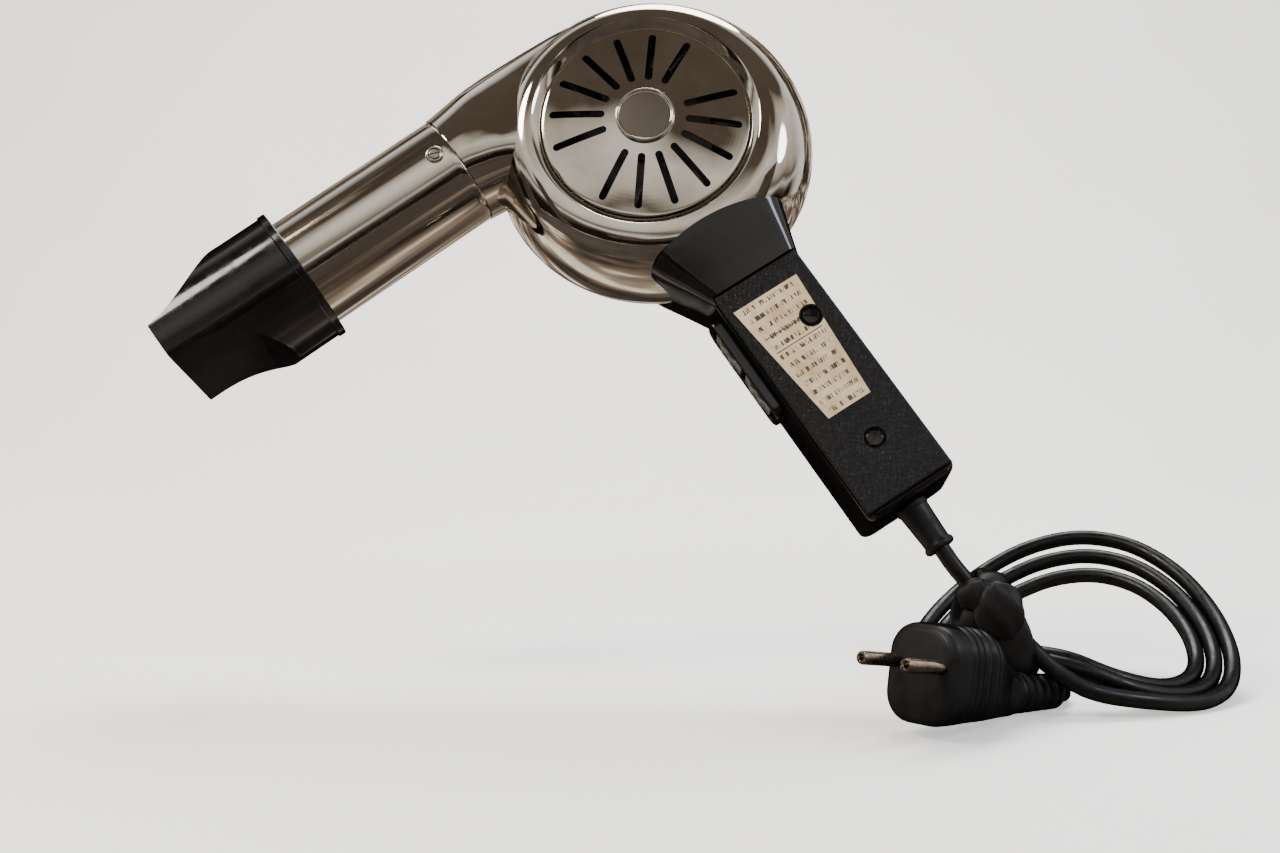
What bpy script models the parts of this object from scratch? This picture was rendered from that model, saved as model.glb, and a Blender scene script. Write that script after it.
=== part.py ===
"""Hair dryer with a volute drum, a round barrel, a fishtail nozzle and a tied mains lead.

Metres, +Z up. The dryer is held under its barrel, leaning back, and its lead lies on the surface below.
The origin is the point under the barrel where it is held. The pieces of the dryer are drawn in the
dryer's own frame (drum axis along Y, barrel along -X, handle along -Z) and hang from empties.
"""
import math

import bmesh
import bpy
from mathutils import Matrix, Vector

# ---- how the dryer is held -------------------------------------------------------------------
LEAN = math.radians(-18.8)          # the drum's top leans away from the viewer
ROLL = math.radians(-37.0)          # the barrel points down to the left
GAP = 0.0003                        # between pieces that touch

# ---- drum and duct ---------------------------------------------------------------------------
WALL = 0.0015
DRUM_R = 0.0642
DRUM_DROP = 0.0047                  # the drum's outline is this far below the motor axis
DRUM_WIDE_Y = 0.003                 # where the drum is widest, and where the two shells meet
BEZEL_R = 0.0453
BEZEL_Y = -0.0215
LEDGE_Y = -0.0176                   # the ledge that the grille rests on
LEDGE_IN = 0.0388
LEDGE_OUT = 0.0414
REAR_Y = 0.021
REAR_FLAT_R = 0.038
REAR_HOLE_R = 0.0262
DRUM_SEGMENTS = 40
DUCT_SEGMENTS = 24

# ---- barrel ----------------------------------------------------------------------------------
BARREL_Z = 0.0365
BARREL_R = 0.023
BARREL_WALL = 0.001
SEAM_X = -(DRUM_R + 0.0038)
BARREL_END_X = -0.157
SPIGOT_LENGTH = 0.012
SPIGOT_WALL = 0.0014
BARREL_REST = Vector((-0.105, 0.0, BARREL_Z - BARREL_R))
BARREL_SCREW_X = SEAM_X - 0.0074

# ---- grille ----------------------------------------------------------------------------------
GRILLE_R = 0.0411
GRILLE_THICK = 0.0008
GRILLE_DOME = 0.0047
SLOT_PITCHES = 16
SLOT_IN = 0.0167
SLOT_OUT = 0.0382
SLOT_WIDTH = 0.0029
SLOT_TURN = math.radians(4.3)
BADGE_R = 0.0116
BADGE_FACE_R = 0.0102

# ---- nozzle ----------------------------------------------------------------------------------
NOZZLE_REAR_X = -0.1426
NOZZLE_TIP_X = -0.203
NOZZLE_R = 0.0276
NOZZLE_TIP_R = 0.0282
NOZZLE_WALL = 0.0016
NOZZLE_BAND = 0.0034
NOZZLE_SHOULDER_X = -0.1636
NOZZLE_TOP_Z = 0.0410
NOZZLE_BOTTOM_Z = 0.0261
NOZZLE_TOP_POWER = 1.6
NOZZLE_BOTTOM_POWER = 2.9
NOZZLE_STATIONS = 6
NOZZLE_SEGMENTS = 32
CLIP_LENGTH = 0.008

# ---- motor and fan ---------------------------------------------------------------------------
SHAFT_R = 0.002
SHAFT_FRONT_Y = -0.0165
SHAFT_REAR_Y = 0.0208
SHAFT_CLEAR = 0.00008
NUT_BORE = (SHAFT_R + 0.00005) / math.cos(math.radians(30))
FAN_R = 0.046
FAN_EYE_R = 0.027
FAN_FRONT_Y = -0.0135
FAN_PLATE_Y = -0.0012
FAN_PLATE = 0.0012
FAN_HUB_R = 0.0075
FAN_BLADES = 22
FAN_BLADE = 0.0011
MOTOR_R = 0.0248
TIE_RING = MOTOR_R - 0.0020
STACK_NOTCH_R = MOTOR_R - 0.0035
STACK_INNER_R = MOTOR_R - 0.0039
MOTOR_BORE = 0.0141
STACK_FRONT_Y = 0.0045
STACK_REAR_Y = 0.0120
AIR_GAP = 0.0005
PLATE_THICK = 0.0011
FRONT_PLATE_Y = 0.0013
REAR_PLATE_Y = REAR_Y - WALL - GAP - PLATE_THICK
REAR_PLATE_R = 0.0372
HOUSING_SCREW_RING = 0.0345
COMMUTATOR_R = 0.0064
COMMUTATOR_Y = (0.0133, 0.0171)
BRUSH = 0.0036
CAP_R = 0.0285
CAP_Y = 0.026
CAP_SLOTS = 8

# ---- handle ----------------------------------------------------------------------------------
HANDLE_TILT = math.radians(3.4)
HANDLE_HALF = 0.0193
HANDLE_FRONT_Y = -0.016
HANDLE_REAR_Y = 0.018
HANDLE_TOP = 0.0790
HANDLE_END = 0.1812
HANDLE_CORNER = 0.0042
HANDLE_WALL = 0.0022
COVER_THICK = 0.0024
COVER_TOP = 0.0765
COVER_END = 0.1788
COVER_HALF = 0.0187
COLLAR_REACH = 0.0440
ARCH_R = 0.068
ARCH_TOP = 0.0490
ARCH_X = -0.006
LABEL_TOP = 0.0860
LABEL_END = 0.1404
LABEL_THICK = 0.0004
COVER_SCREW_R = 0.0032
COVER_HOLE_R = 0.0038
COVER_SCREWS = {"cover_screw_top": (0.0082, 0.1030), "cover_screw_bottom": (0.0003, 0.1557)}
SWITCH_TOP = 0.0800
SWITCH_END = 0.1275
SWITCH_DEPTH = 0.0150
SWITCH_PROUD = 0.0042
ROCKER_TRAVEL = math.radians(7.0)
RELIEF_END = 0.2015
RELIEF_R = 0.0066

# ---- lead, coil and plug (these lie in the upright frame) ---------------------------------------
CORD_R = 0.0032
FLOOR_Z = -0.1683
COIL_CENTRE = Vector((0.2601, 0.0080, -0.1466))
COIL_R = 0.0631                     # the outermost turn
COIL_FLATTEN = 0.96                 # depth against width
COIL_TURNS = 2.72
COIL_START = math.radians(-76)
COIL_END = math.radians(205)
TIE_LENGTH = 0.020
TIE_R = 0.0115
PLUG_FACE = Vector((0.1880, -0.0920, -0.1425))
PLUG_YAW = math.radians(43)
PLUG_PITCH = math.radians(9)
PIN_R = 0.0024
PIN_LENGTH = 0.019
PIN_APART = 0.019
BOOT_START = 0.0473
BOOT_END = 0.0780
BOOT_DROP = (0.0085, 0.0070)
BOOT_R = (0.0080, 0.0064)


# ---------------------------------------------------------------------------- small helpers ------
def clear_scene():
    for item in list(bpy.data.objects):
        bpy.data.objects.remove(item, do_unlink=True)


def material(name, colour, roughness, metallic=0.0):
    made = bpy.data.materials.new(name)
    made.use_nodes = True
    shader = made.node_tree.nodes["Principled BSDF"]
    shader.inputs["Base Color"].default_value = (*colour, 1.0)
    shader.inputs["Roughness"].default_value = roughness
    shader.inputs["Metallic"].default_value = metallic
    return made


def empty(name, parent=None, location=(0, 0, 0)):
    made = bpy.data.objects.new(name, None)
    bpy.context.scene.collection.objects.link(made)
    made.parent = parent
    made.location = location
    return made


def finish(bm, name, parent, finish_material, location=(0, 0, 0), smooth=True):
    """Turn a bmesh into a named object whose faces point outwards."""
    bmesh.ops.recalc_face_normals(bm, faces=bm.faces)
    if bm.calc_volume(signed=True) < 0:
        bmesh.ops.reverse_faces(bm, faces=bm.faces)
    mesh = bpy.data.meshes.new(name)
    bm.to_mesh(mesh)
    bm.free()
    if smooth:
        mesh.shade_smooth()
        mesh.set_sharp_from_angle(angle=math.radians(35))
    if finish_material:
        mesh.materials.append(finish_material)
    made = bpy.data.objects.new(name, mesh)
    bpy.context.scene.collection.objects.link(made)
    made.parent = parent
    made.location = location
    return made


def loft(rings, closed=False):
    """Skin rings that all have the same number of points; cap both ends unless it closes on itself."""
    bm = bmesh.new()
    rows = [[bm.verts.new(point) for point in ring] for ring in rings]
    count = len(rows[0])
    pairs = list(zip(rows, rows[1:]))
    if closed:
        pairs.append((rows[-1], rows[0]))
    for low, high in pairs:
        for i in range(count):
            j = (i + 1) % count
            bm.faces.new((low[i], low[j], high[j], high[i]))
    if not closed:
        bm.faces.new(rows[0])
        bm.faces.new(list(reversed(rows[-1])))
    return bm


def circle(radius, y, count, x=0.0, z=0.0):
    """A ring about an axis along Y."""
    step = 2 * math.pi / count
    return [Vector((x + radius * math.cos(i * step), y, z + radius * math.sin(i * step))) for i in range(count)]


def turned(profile, count=32, x=0.0, z=0.0, closed=False):
    """A solid turned about Y from (radius, y) points."""
    return loft([circle(radius, y, count, x, z) for radius, y in profile], closed)


def along_x(bm, x=0.0, y=0.0, z=0.0):
    """Turn a solid about Y into one about X, its +Y end towards -X, and place it."""
    turn = Matrix.Rotation(math.radians(90), 4, "Z")
    bmesh.ops.transform(bm, matrix=Matrix.Translation((x, y, z)) @ turn, verts=bm.verts)
    return bm


def box(low, high, bevel=0.0, segments=1):
    bm = bmesh.new()
    bmesh.ops.create_cube(bm, size=1.0)
    low, high = Vector(low), Vector(high)
    size = high - low
    for vert in bm.verts:
        vert.co = Vector(vert.co[k] * size[k] + (low[k] + high[k]) / 2 for k in range(3))
    if bevel:
        bmesh.ops.bevel(bm, geom=bm.edges[:], offset=bevel, segments=segments, affect="EDGES", profile=0.5)
    return bm


def prism(points, low, high, axis="Y"):
    """Extrude an outline given in the plane across the axis."""
    def place(point, level):
        a, b = point
        return {"X": (level, a, b), "Y": (a, level, b), "Z": (a, b, level)}[axis]
    return loft([[Vector(place(p, low)) for p in points], [Vector(place(p, high)) for p in points]])


def rounded_outline(low_x, high_x, low_y, high_y, radius, steps=4):
    """A rectangle with round corners, corner by corner."""
    corners = [(high_x - radius, high_y - radius, 0), (low_x + radius, high_y - radius, 90),
               (low_x + radius, low_y + radius, 180), (high_x - radius, low_y + radius, 270)]
    points = []
    for x, y, start in corners:
        for i in range(steps + 1):
            angle = math.radians(start + 90 * i / steps)
            points.append((x + radius * math.cos(angle), y + radius * math.sin(angle)))
    return points


def arc_block(inner, outer, start, end, low, high, steps=8):
    """A block between two radii and two angles, standing along Y."""
    angles = [start + (end - start) * i / steps for i in range(steps + 1)]
    outline = [(outer * math.cos(a), outer * math.sin(a)) for a in angles]
    outline += [(inner * math.cos(a), inner * math.sin(a)) for a in reversed(angles)]
    return prism(outline, low, high)


def cutter(bm, name, parent):
    made = finish(bm, name, parent, None, smooth=False)
    made.hide_render = True
    made.display_type = "WIRE"
    return made


def boolean(target, tool, operation="DIFFERENCE"):
    modifier = target.modifiers.new(tool.name, "BOOLEAN")
    modifier.operation = operation
    modifier.object = tool
    modifier.solver = "EXACT"
    return modifier


def screw(name, parent, location, head_r, head, shank_r, shank, direction, finish_material):
    """A pan head with a cross slot's worth of recess, and its shank, along a unit direction outwards."""
    bm = turned([(shank_r, -shank), (shank_r, 0.0), (head_r, 0.0), (head_r, head * 0.6),
                 (head_r * 0.8, head), (head_r * 0.42, head), (head_r * 0.36, head * 0.45)], 12)
    turn = Vector((0, 1, 0)).rotation_difference(Vector(direction)).to_matrix().to_4x4()
    bmesh.ops.transform(bm, matrix=turn, verts=bm.verts)
    return finish(bm, name, parent, finish_material, location)


# ------------------------------------------------------------------------------- housing --------
def drum_ring(radius, y, share=1.0, count=DRUM_SEGMENTS):
    """share says how far the ring's centre has moved from the motor axis to the drum's own centre."""
    return circle(radius, y, count, z=-DRUM_DROP * share)


def drum_rings(offset=0.0, steps=5):
    """The drum's outside from the bezel's crest over the rim to the flat back, moved out by offset."""
    rings = []
    for i in range(steps + 1):
        angle = math.pi / 2 * (0.06 + 0.94 * i / steps)
        reach, rise = DRUM_R - BEZEL_R + offset, DRUM_WIDE_Y - BEZEL_Y + offset
        rings.append(drum_ring(BEZEL_R + reach * math.sin(angle), DRUM_WIDE_Y - rise * math.cos(angle),
                               math.sin(angle)))
    for i in range(1, steps + 1):
        angle = math.pi / 2 * i / steps
        reach, rise = DRUM_R - REAR_FLAT_R + offset, REAR_Y - DRUM_WIDE_Y + offset
        rings.append(drum_ring(REAR_FLAT_R + reach * math.cos(angle), DRUM_WIDE_Y + rise * math.sin(angle)))
    return rings


def drum_outer():
    recess = [drum_ring(LEDGE_IN, LEDGE_Y, 0), drum_ring(LEDGE_OUT, LEDGE_Y, 0),
              drum_ring(BEZEL_R - 0.0010, BEZEL_Y + 0.0004, 0), drum_ring(BEZEL_R - 0.0002, BEZEL_Y, 0)]
    return loft(recess + drum_rings())


def drum_inner():
    far = 0.012
    throat = [drum_ring(LEDGE_IN, BEZEL_Y - far, 0), drum_ring(LEDGE_IN, LEDGE_Y + WALL, 0),
              drum_ring(LEDGE_OUT + 0.0010, LEDGE_Y + WALL, 0)]
    back = [drum_ring(REAR_HOLE_R, REAR_Y - WALL, 0), drum_ring(REAR_HOLE_R, REAR_Y + far, 0)]
    return loft(throat + drum_rings(-WALL) + back)


def recess_tool():
    """What the bezel's recess takes out of the duct's root."""
    far = 0.012
    return loft([drum_ring(LEDGE_OUT, LEDGE_Y, 0), drum_ring(BEZEL_R - 0.0010, BEZEL_Y + 0.0004, 0),
                 drum_ring(BEZEL_R + 0.0004, BEZEL_Y - 0.0002, 0), drum_ring(BEZEL_R + 0.0004, BEZEL_Y - far, 0)])


# x, height of the top above the barrel's axis, half depth, squareness
DUCT_STATIONS = [(SEAM_X, BARREL_R + 0.0004, BARREL_R + 0.0004, 2.0), (-0.060, 0.0243, 0.0231, 2.1),
                 (-0.050, 0.0254, 0.0222, 2.3), (-0.040, 0.0260, 0.0203, 2.4), (-0.030, 0.0262, 0.0178, 2.5),
                 (-0.016, 0.0263, 0.0145, 2.6), (0.000, 0.0258, 0.0120, 2.6), (0.010, 0.0240, 0.0095, 2.5),
                 (0.020, 0.0200, 0.0060, 2.2)]


def duct_ring(x, up, half_depth, power, shrink=0.0, count=DUCT_SEGMENTS):
    points = []
    for i in range(count):
        angle = 2 * math.pi * i / count
        c, s = math.cos(angle), math.sin(angle)
        y = (half_depth - shrink) * math.copysign(abs(c) ** (2 / power), c)
        z = (up - shrink) * math.copysign(abs(s) ** (2 / power), s)
        points.append(Vector((x, y, BARREL_Z + z)))
    return points


def duct_outer():
    return loft([duct_ring(*station) for station in DUCT_STATIONS])


def duct_inner():
    bore = BARREL_R - BARREL_WALL - GAP - SPIGOT_WALL
    entry = [duct_ring(SEAM_X - SPIGOT_LENGTH - 0.004, bore, bore, 2.0), duct_ring(SEAM_X + 0.002, bore, bore, 2.0)]
    inside = [duct_ring(*station, shrink=WALL) for station in DUCT_STATIONS[1:5]]
    return loft(entry + inside)


def spigot():
    outer = BARREL_R - BARREL_WALL - GAP
    bm = turned([(outer, -0.003), (outer, SPIGOT_LENGTH - 0.0008), (outer - 0.0008, SPIGOT_LENGTH)], DUCT_SEGMENTS)
    return along_x(bm, SEAM_X, 0, BARREL_Z)


def make_housing(frame, chrome):
    """Both shells are the same hollow body, cut apart at the drum's widest plane."""
    tools = {"duct_outer_tool": (duct_outer(), "UNION"), "spigot_tool": (spigot(), "UNION"),
             "recess_tool": (recess_tool(), "DIFFERENCE"), "drum_inner_tool": (drum_inner(), "DIFFERENCE"),
             "duct_inner_tool": (duct_inner(), "DIFFERENCE")}
    wire_way = turned([(0.008, -0.02), (0.008, 0.02)], 20)
    bmesh.ops.rotate(wire_way, matrix=Matrix.Rotation(math.radians(90), 3, "X"), verts=wire_way.verts)
    bmesh.ops.translate(wire_way, vec=(-0.002, 0, -DRUM_DROP - DRUM_R), verts=wire_way.verts)
    tools["wire_way_tool"] = (wire_way, "DIFFERENCE")
    screw_way = turned([(0.0016, 0.012), (0.0016, 0.03)], 16)
    bmesh.ops.rotate(screw_way, matrix=Matrix.Rotation(math.pi, 3, "Z"), verts=screw_way.verts)
    bmesh.ops.translate(screw_way, vec=(BARREL_SCREW_X, 0, BARREL_Z), verts=screw_way.verts)
    tools["barrel_screw_tool"] = (screw_way, "DIFFERENCE")
    objects = {name: (cutter(bm, name, frame), operation) for name, (bm, operation) in tools.items()}
    rim_holes = []
    for number, place in enumerate(housing_screw_places(), 1):
        hole = turned([(0.0017, DRUM_WIDE_Y + 0.004), (0.0017, REAR_Y + 0.01)], 16, place[0], place[1])
        rim_holes.append(cutter(hole, "rim_hole_tool_%d" % number, frame))
    reach = 0.2
    halves = {"front_shell": box((-reach, DRUM_WIDE_Y, -reach), (reach, reach, reach)),
              "rear_shell": box((-reach, -reach, -reach), (reach, DRUM_WIDE_Y + GAP, reach))}
    for name, waste in halves.items():
        shell = finish(drum_outer(), name, frame, chrome)
        for tool, operation in objects.values():
            boolean(shell, tool, operation)
        boolean(shell, cutter(waste, name + "_waste", frame))
        if name == "rear_shell":
            for tool in rim_holes:
                boolean(shell, tool)
    return rim_holes


def housing_screw_places():
    ring = HOUSING_SCREW_RING
    return [(ring * math.cos(a), ring * math.sin(a) - DRUM_DROP) for a in map(math.radians, (-12, 192, 238, 302))]


def make_grille(frame, chrome, bronze):
    """A domed disc; the slots miss the two places in line with the barrel's direction."""
    count, rings = 40, 3

    def skin(offset):
        rows = []
        for i in range(1, rings + 1):
            radius = GRILLE_R * i / rings
            y = LEDGE_Y - GAP - GRILLE_THICK - GRILLE_DOME * (1 - (i / rings) ** 2) + offset
            rows.append(circle(radius, y, count))
        return rows

    disc = loft(skin(0.0) + list(reversed(skin(GRILLE_THICK))))
    grille = finish(disc, "intake_grille", frame, chrome)
    slots = bmesh.new()
    for k in range(SLOT_PITCHES):
        if k % (SLOT_PITCHES // 2) == 0:
            continue
        outline = rounded_outline(SLOT_IN, SLOT_OUT, -SLOT_WIDTH / 2, SLOT_WIDTH / 2, SLOT_WIDTH / 2 * 0.999, 2)
        turn = Matrix.Rotation(SLOT_TURN + 2 * math.pi * k / SLOT_PITCHES, 2)
        turned_outline = [tuple(turn @ Vector(p)) for p in outline]
        piece = prism(turned_outline, LEDGE_Y - 0.012, LEDGE_Y + 0.006)
        bmesh.ops.recalc_face_normals(piece, faces=piece.faces)
        mesh = bpy.data.meshes.new("slot")
        piece.to_mesh(mesh)
        piece.free()
        slots.from_mesh(mesh)
        bpy.data.meshes.remove(mesh)
    boolean(grille, cutter(slots, "slots_tool", frame))
    hub = cutter(turned([(0.003, -0.04), (0.003, 0.0)], 20), "badge_hole_tool", frame)
    boolean(grille, hub)
    face = LEDGE_Y - GAP - GRILLE_THICK - GRILLE_DOME - GAP
    badge = turned([(0.0027, face + 0.004), (0.0027, face), (BADGE_R, face + 0.0005), (BADGE_R, face - 0.0006),
                    (BADGE_R - 0.0006, face - 0.0012), (BADGE_FACE_R, face - 0.0012),
                    (BADGE_FACE_R - 0.0003, face - 0.0007)], 28)
    finish(badge, "grille_badge", frame, bronze)


# -------------------------------------------------------------------------------- barrel ---------
def make_barrel(frame, chrome, steel):
    inner = BARREL_R - BARREL_WALL
    length = SEAM_X - GAP - BARREL_END_X
    tube = turned([(BARREL_R, 0.0), (BARREL_R, length), (inner, length), (inner, 0.0)], 40, closed=True)
    barrel = finish(along_x(tube, SEAM_X - GAP, 0, BARREL_Z), "barrel_tube", frame, chrome)
    hole = turned([(0.0016, 0.012), (0.0016, 0.03)], 16)
    bmesh.ops.rotate(hole, matrix=Matrix.Rotation(math.pi, 3, "Z"), verts=hole.verts)
    bmesh.ops.translate(hole, vec=(BARREL_SCREW_X, 0, BARREL_Z), verts=hole.verts)
    boolean(barrel, cutter(hole, "barrel_hole_tool", frame))
    screw("barrel_screw", frame, (BARREL_SCREW_X, -BARREL_R - GAP, BARREL_Z), 0.0027, 0.0013, 0.0012, 0.0030,
          (0, -1, 0), steel)


# -------------------------------------------------------------------------------- nozzle ---------
def nozzle_height(x, level, power):
    """How far the top or bottom face has come in from the round, 0 at the shoulder."""
    share = min(1.0, max(0.0, (x - NOZZLE_TIP_X) / (NOZZLE_SHOULDER_X - NOZZLE_TIP_X)))
    return level + (NOZZLE_R * math.copysign(1, level) * 1.02 - level) * share ** power


def nozzle_ring(x, shrink):
    share = min(1.0, max(0.0, (x - NOZZLE_TIP_X) / (NOZZLE_SHOULDER_X - NOZZLE_TIP_X)))
    radius = NOZZLE_TIP_R + (NOZZLE_R - NOZZLE_TIP_R) * share - shrink
    top = nozzle_height(x, NOZZLE_TOP_Z - BARREL_Z, NOZZLE_TOP_POWER) - shrink
    bottom = nozzle_height(x, NOZZLE_BOTTOM_Z - BARREL_Z, NOZZLE_BOTTOM_POWER) + shrink
    points = []
    for i in range(NOZZLE_SEGMENTS):
        angle = 2 * math.pi * (i + 0.5) / NOZZLE_SEGMENTS
        y = radius * math.cos(angle)
        z = min(top, max(bottom, radius * math.sin(angle)))
        points.append(Vector((x, y, BARREL_Z + z)))
    return points


def make_nozzle(frame, pivot, black, spring):
    """The outside runs from the rim band to the mouth; the inside runs back to the clip's groove."""
    inner_r = BARREL_R + GAP
    stations = [NOZZLE_TIP_X + (NOZZLE_SHOULDER_X - NOZZLE_TIP_X) * i / NOZZLE_STATIONS
                for i in range(NOZZLE_STATIONS, -1, -1)]
    band = 0.0006

    def round_ring(x, radius):
        step = 2 * math.pi / NOZZLE_SEGMENTS
        return [Vector((x, radius * math.cos((i + 0.5) * step), BARREL_Z + radius * math.sin((i + 0.5) * step)))
                for i in range(NOZZLE_SEGMENTS)]

    groove = inner_r + 0.0016
    outside = [round_ring(NOZZLE_REAR_X, NOZZLE_R - 0.0002), round_ring(NOZZLE_REAR_X - 0.0004, NOZZLE_R + band),
               round_ring(NOZZLE_REAR_X - NOZZLE_BAND, NOZZLE_R + band),
               round_ring(NOZZLE_REAR_X - NOZZLE_BAND - 0.0003, NOZZLE_R)]
    outside += [nozzle_ring(x, 0.0) for x in stations]
    inside = [nozzle_ring(x, NOZZLE_WALL) for x in reversed(stations)]
    inside += [round_ring(BARREL_END_X - 0.001, inner_r + 0.0006), round_ring(BARREL_END_X + 0.0015, inner_r + 0.0002),
               round_ring(NOZZLE_REAR_X - 0.0040 - CLIP_LENGTH, inner_r + 0.0002),
               round_ring(NOZZLE_REAR_X - 0.0040 - CLIP_LENGTH, groove), round_ring(NOZZLE_REAR_X - 0.0040, groove),
               round_ring(NOZZLE_REAR_X - 0.0040, inner_r + 0.0002), round_ring(NOZZLE_REAR_X, inner_r + 0.0002)]
    shell = loft(outside + inside, closed=True)
    bmesh.ops.translate(shell, vec=(0, 0, -BARREL_Z), verts=shell.verts)
    finish(shell, "nozzle", pivot, black)
    start, end = math.radians(20), math.radians(340)
    low = -(NOZZLE_REAR_X - 0.0040) + GAP
    clip = arc_block(inner_r, inner_r + 0.0010, start, end, low, low + CLIP_LENGTH - 2 * GAP, 28)
    finish(along_x(clip, 0, 0, BARREL_Z), "nozzle_clip", frame, spring)


# ------------------------------------------------------------------------------ fan, motor -------
def make_fan(frame, plastic, steel):
    plate_low = FAN_PLATE_Y
    disc = turned([(SHAFT_R + GAP / 3, FAN_FRONT_Y), (FAN_HUB_R, FAN_FRONT_Y), (FAN_HUB_R + 0.0015, plate_low),
                   (FAN_R, plate_low), (FAN_R, plate_low + FAN_PLATE), (SHAFT_R + GAP / 3, plate_low + FAN_PLATE)],
                  36, closed=True)
    impeller = finish(disc, "impeller", frame, plastic)
    blades = bmesh.new()
    for k in range(FAN_BLADES):
        blade = box((FAN_EYE_R, FAN_FRONT_Y, -FAN_BLADE / 2), (FAN_R - 0.0004, plate_low + FAN_PLATE / 2, FAN_BLADE / 2))
        lean = Matrix.Translation((FAN_EYE_R, 0, 0)) @ Matrix.Rotation(math.radians(14), 4, "Y") \
            @ Matrix.Translation((-FAN_EYE_R, 0, 0))
        turn = Matrix.Rotation(2 * math.pi * k / FAN_BLADES, 4, "Y")
        bmesh.ops.transform(blade, matrix=turn @ lean, verts=blade.verts)
        mesh = bpy.data.meshes.new("blade")
        blade.to_mesh(mesh)
        blade.free()
        blades.from_mesh(mesh)
        bpy.data.meshes.remove(mesh)
    boolean(impeller, cutter(blades, "blades_tool", frame), "UNION")
    nut = turned([(NUT_BORE, 0.0), (0.0040, 0.0), (0.0040, 0.0022), (0.0034, 0.0026),
                  (NUT_BORE, 0.0026)], 6, closed=True)
    nut_y = FAN_FRONT_Y - GAP - 0.0026
    finish(nut, "impeller_nut", frame, steel, (0, nut_y, 0), smooth=False)


def make_motor(frame, rim_holes, steel, copper, brass, carbon, laminate):
    shaft = turned([(SHAFT_R * 0.8, SHAFT_FRONT_Y), (SHAFT_R, SHAFT_FRONT_Y + 0.0005),
                    (SHAFT_R, SHAFT_REAR_Y - 0.0005), (SHAFT_R * 0.8, SHAFT_REAR_Y)], 16)
    finish(shaft, "motor_shaft", frame, steel)
    bush = SHAFT_R + SHAFT_CLEAR
    for name, plate_y in (("front", FRONT_PLATE_Y), ("rear", REAR_PLATE_Y)):
        bearing = turned([(bush, plate_y - 0.0004), (0.0042, plate_y - 0.0004), (0.0042, plate_y + 0.0014),
                          (bush, plate_y + 0.0014)], 16, closed=True)
        finish(bearing, name + "_bearing", frame, brass)
        edge, drop = {"front": (MOTOR_R, 0.0), "rear": (REAR_PLATE_R, 1.0)}[name]
        rings = [circle(0.0042 + GAP, plate_y, 28), drum_ring(edge, plate_y, drop, 28),
                 drum_ring(edge, plate_y + PLATE_THICK, drop, 28), circle(0.0042 + GAP, plate_y + PLATE_THICK, 28)]
        made = finish(loft(rings, closed=True), "motor_%s_plate" % name, frame, steel)
        if name == "rear":
            for tool in rim_holes:
                boolean(made, tool)
    finish(stator(), "stator", frame, laminate)
    for name, middle in (("a", 90), ("b", 270)):
        coil = arc_block(MOTOR_BORE + 0.0006, STACK_INNER_R - 0.0002, math.radians(middle - 44), math.radians(middle + 44),
                         STACK_FRONT_Y - 0.0015, STACK_REAR_Y + 0.0012)
        finish(coil, "field_coil_" + name, frame, copper)
    make_rotor(frame, steel, copper, brass)
    for name, side in (("a", 1), ("b", -1)):
        low, high = sorted((side * (COMMUTATOR_R + GAP), side * (COMMUTATOR_R + 0.0078)))
        y = (COMMUTATOR_Y[0] + COMMUTATOR_Y[1]) / 2
        brush = box((low, y - BRUSH / 2, -BRUSH / 2), (high, y + BRUSH / 2, BRUSH / 2))
        finish(brush, "brush_" + name, frame, carbon, smooth=False)
        finish(brush_holder(side, y), "brush_holder_" + name, frame, brass, smooth=False)
    for name, side in (("a", 1), ("b", -1)):
        tie = turned([(0.0012, FRONT_PLATE_Y + PLATE_THICK + GAP), (0.0012, REAR_PLATE_Y - GAP)], 12,
                     side * TIE_RING * math.cos(math.radians(45)), side * TIE_RING * math.sin(math.radians(45)))
        finish(tie, "motor_tie_" + name, frame, steel)


def stator():
    """A ring with two pole arcs; the field coils lie between the poles and the tie rods pass in notches."""
    outline = []
    notch = math.radians(4.5)
    for quarter in range(4):
        start = math.radians(45 + 90 * quarter)
        end = start + math.radians(90)
        outline.append((STACK_NOTCH_R * math.cos(start + notch * 0.9), STACK_NOTCH_R * math.sin(start + notch * 0.9)))
        for i in range(7):
            angle = start + notch + (math.radians(90) - 2 * notch) * i / 6
            outline.append((MOTOR_R * math.cos(angle), MOTOR_R * math.sin(angle)))
        outline.append((STACK_NOTCH_R * math.cos(end - notch * 0.9), STACK_NOTCH_R * math.sin(end - notch * 0.9)))
    inner = []
    for middle, radius, half in ((90, STACK_INNER_R, 45.5), (180, MOTOR_BORE, 44),
                                 (270, STACK_INNER_R, 45.5), (0, MOTOR_BORE, 44)):
        for i in range(9):
            angle = math.radians(middle - half + 2 * half * i / 8)
            inner.append((radius * math.cos(angle), radius * math.sin(angle)))
    return holed_prism(outline, inner, STACK_FRONT_Y, STACK_REAR_Y)


def holed_prism(outline, inner, low, high):
    """Both outlines have as many points as each other and run the same way round."""
    rings = [[Vector((x, low, z)) for x, z in outline], [Vector((x, high, z)) for x, z in outline],
             [Vector((x, high, z)) for x, z in inner], [Vector((x, low, z)) for x, z in inner]]
    return loft(rings, closed=True)


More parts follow.
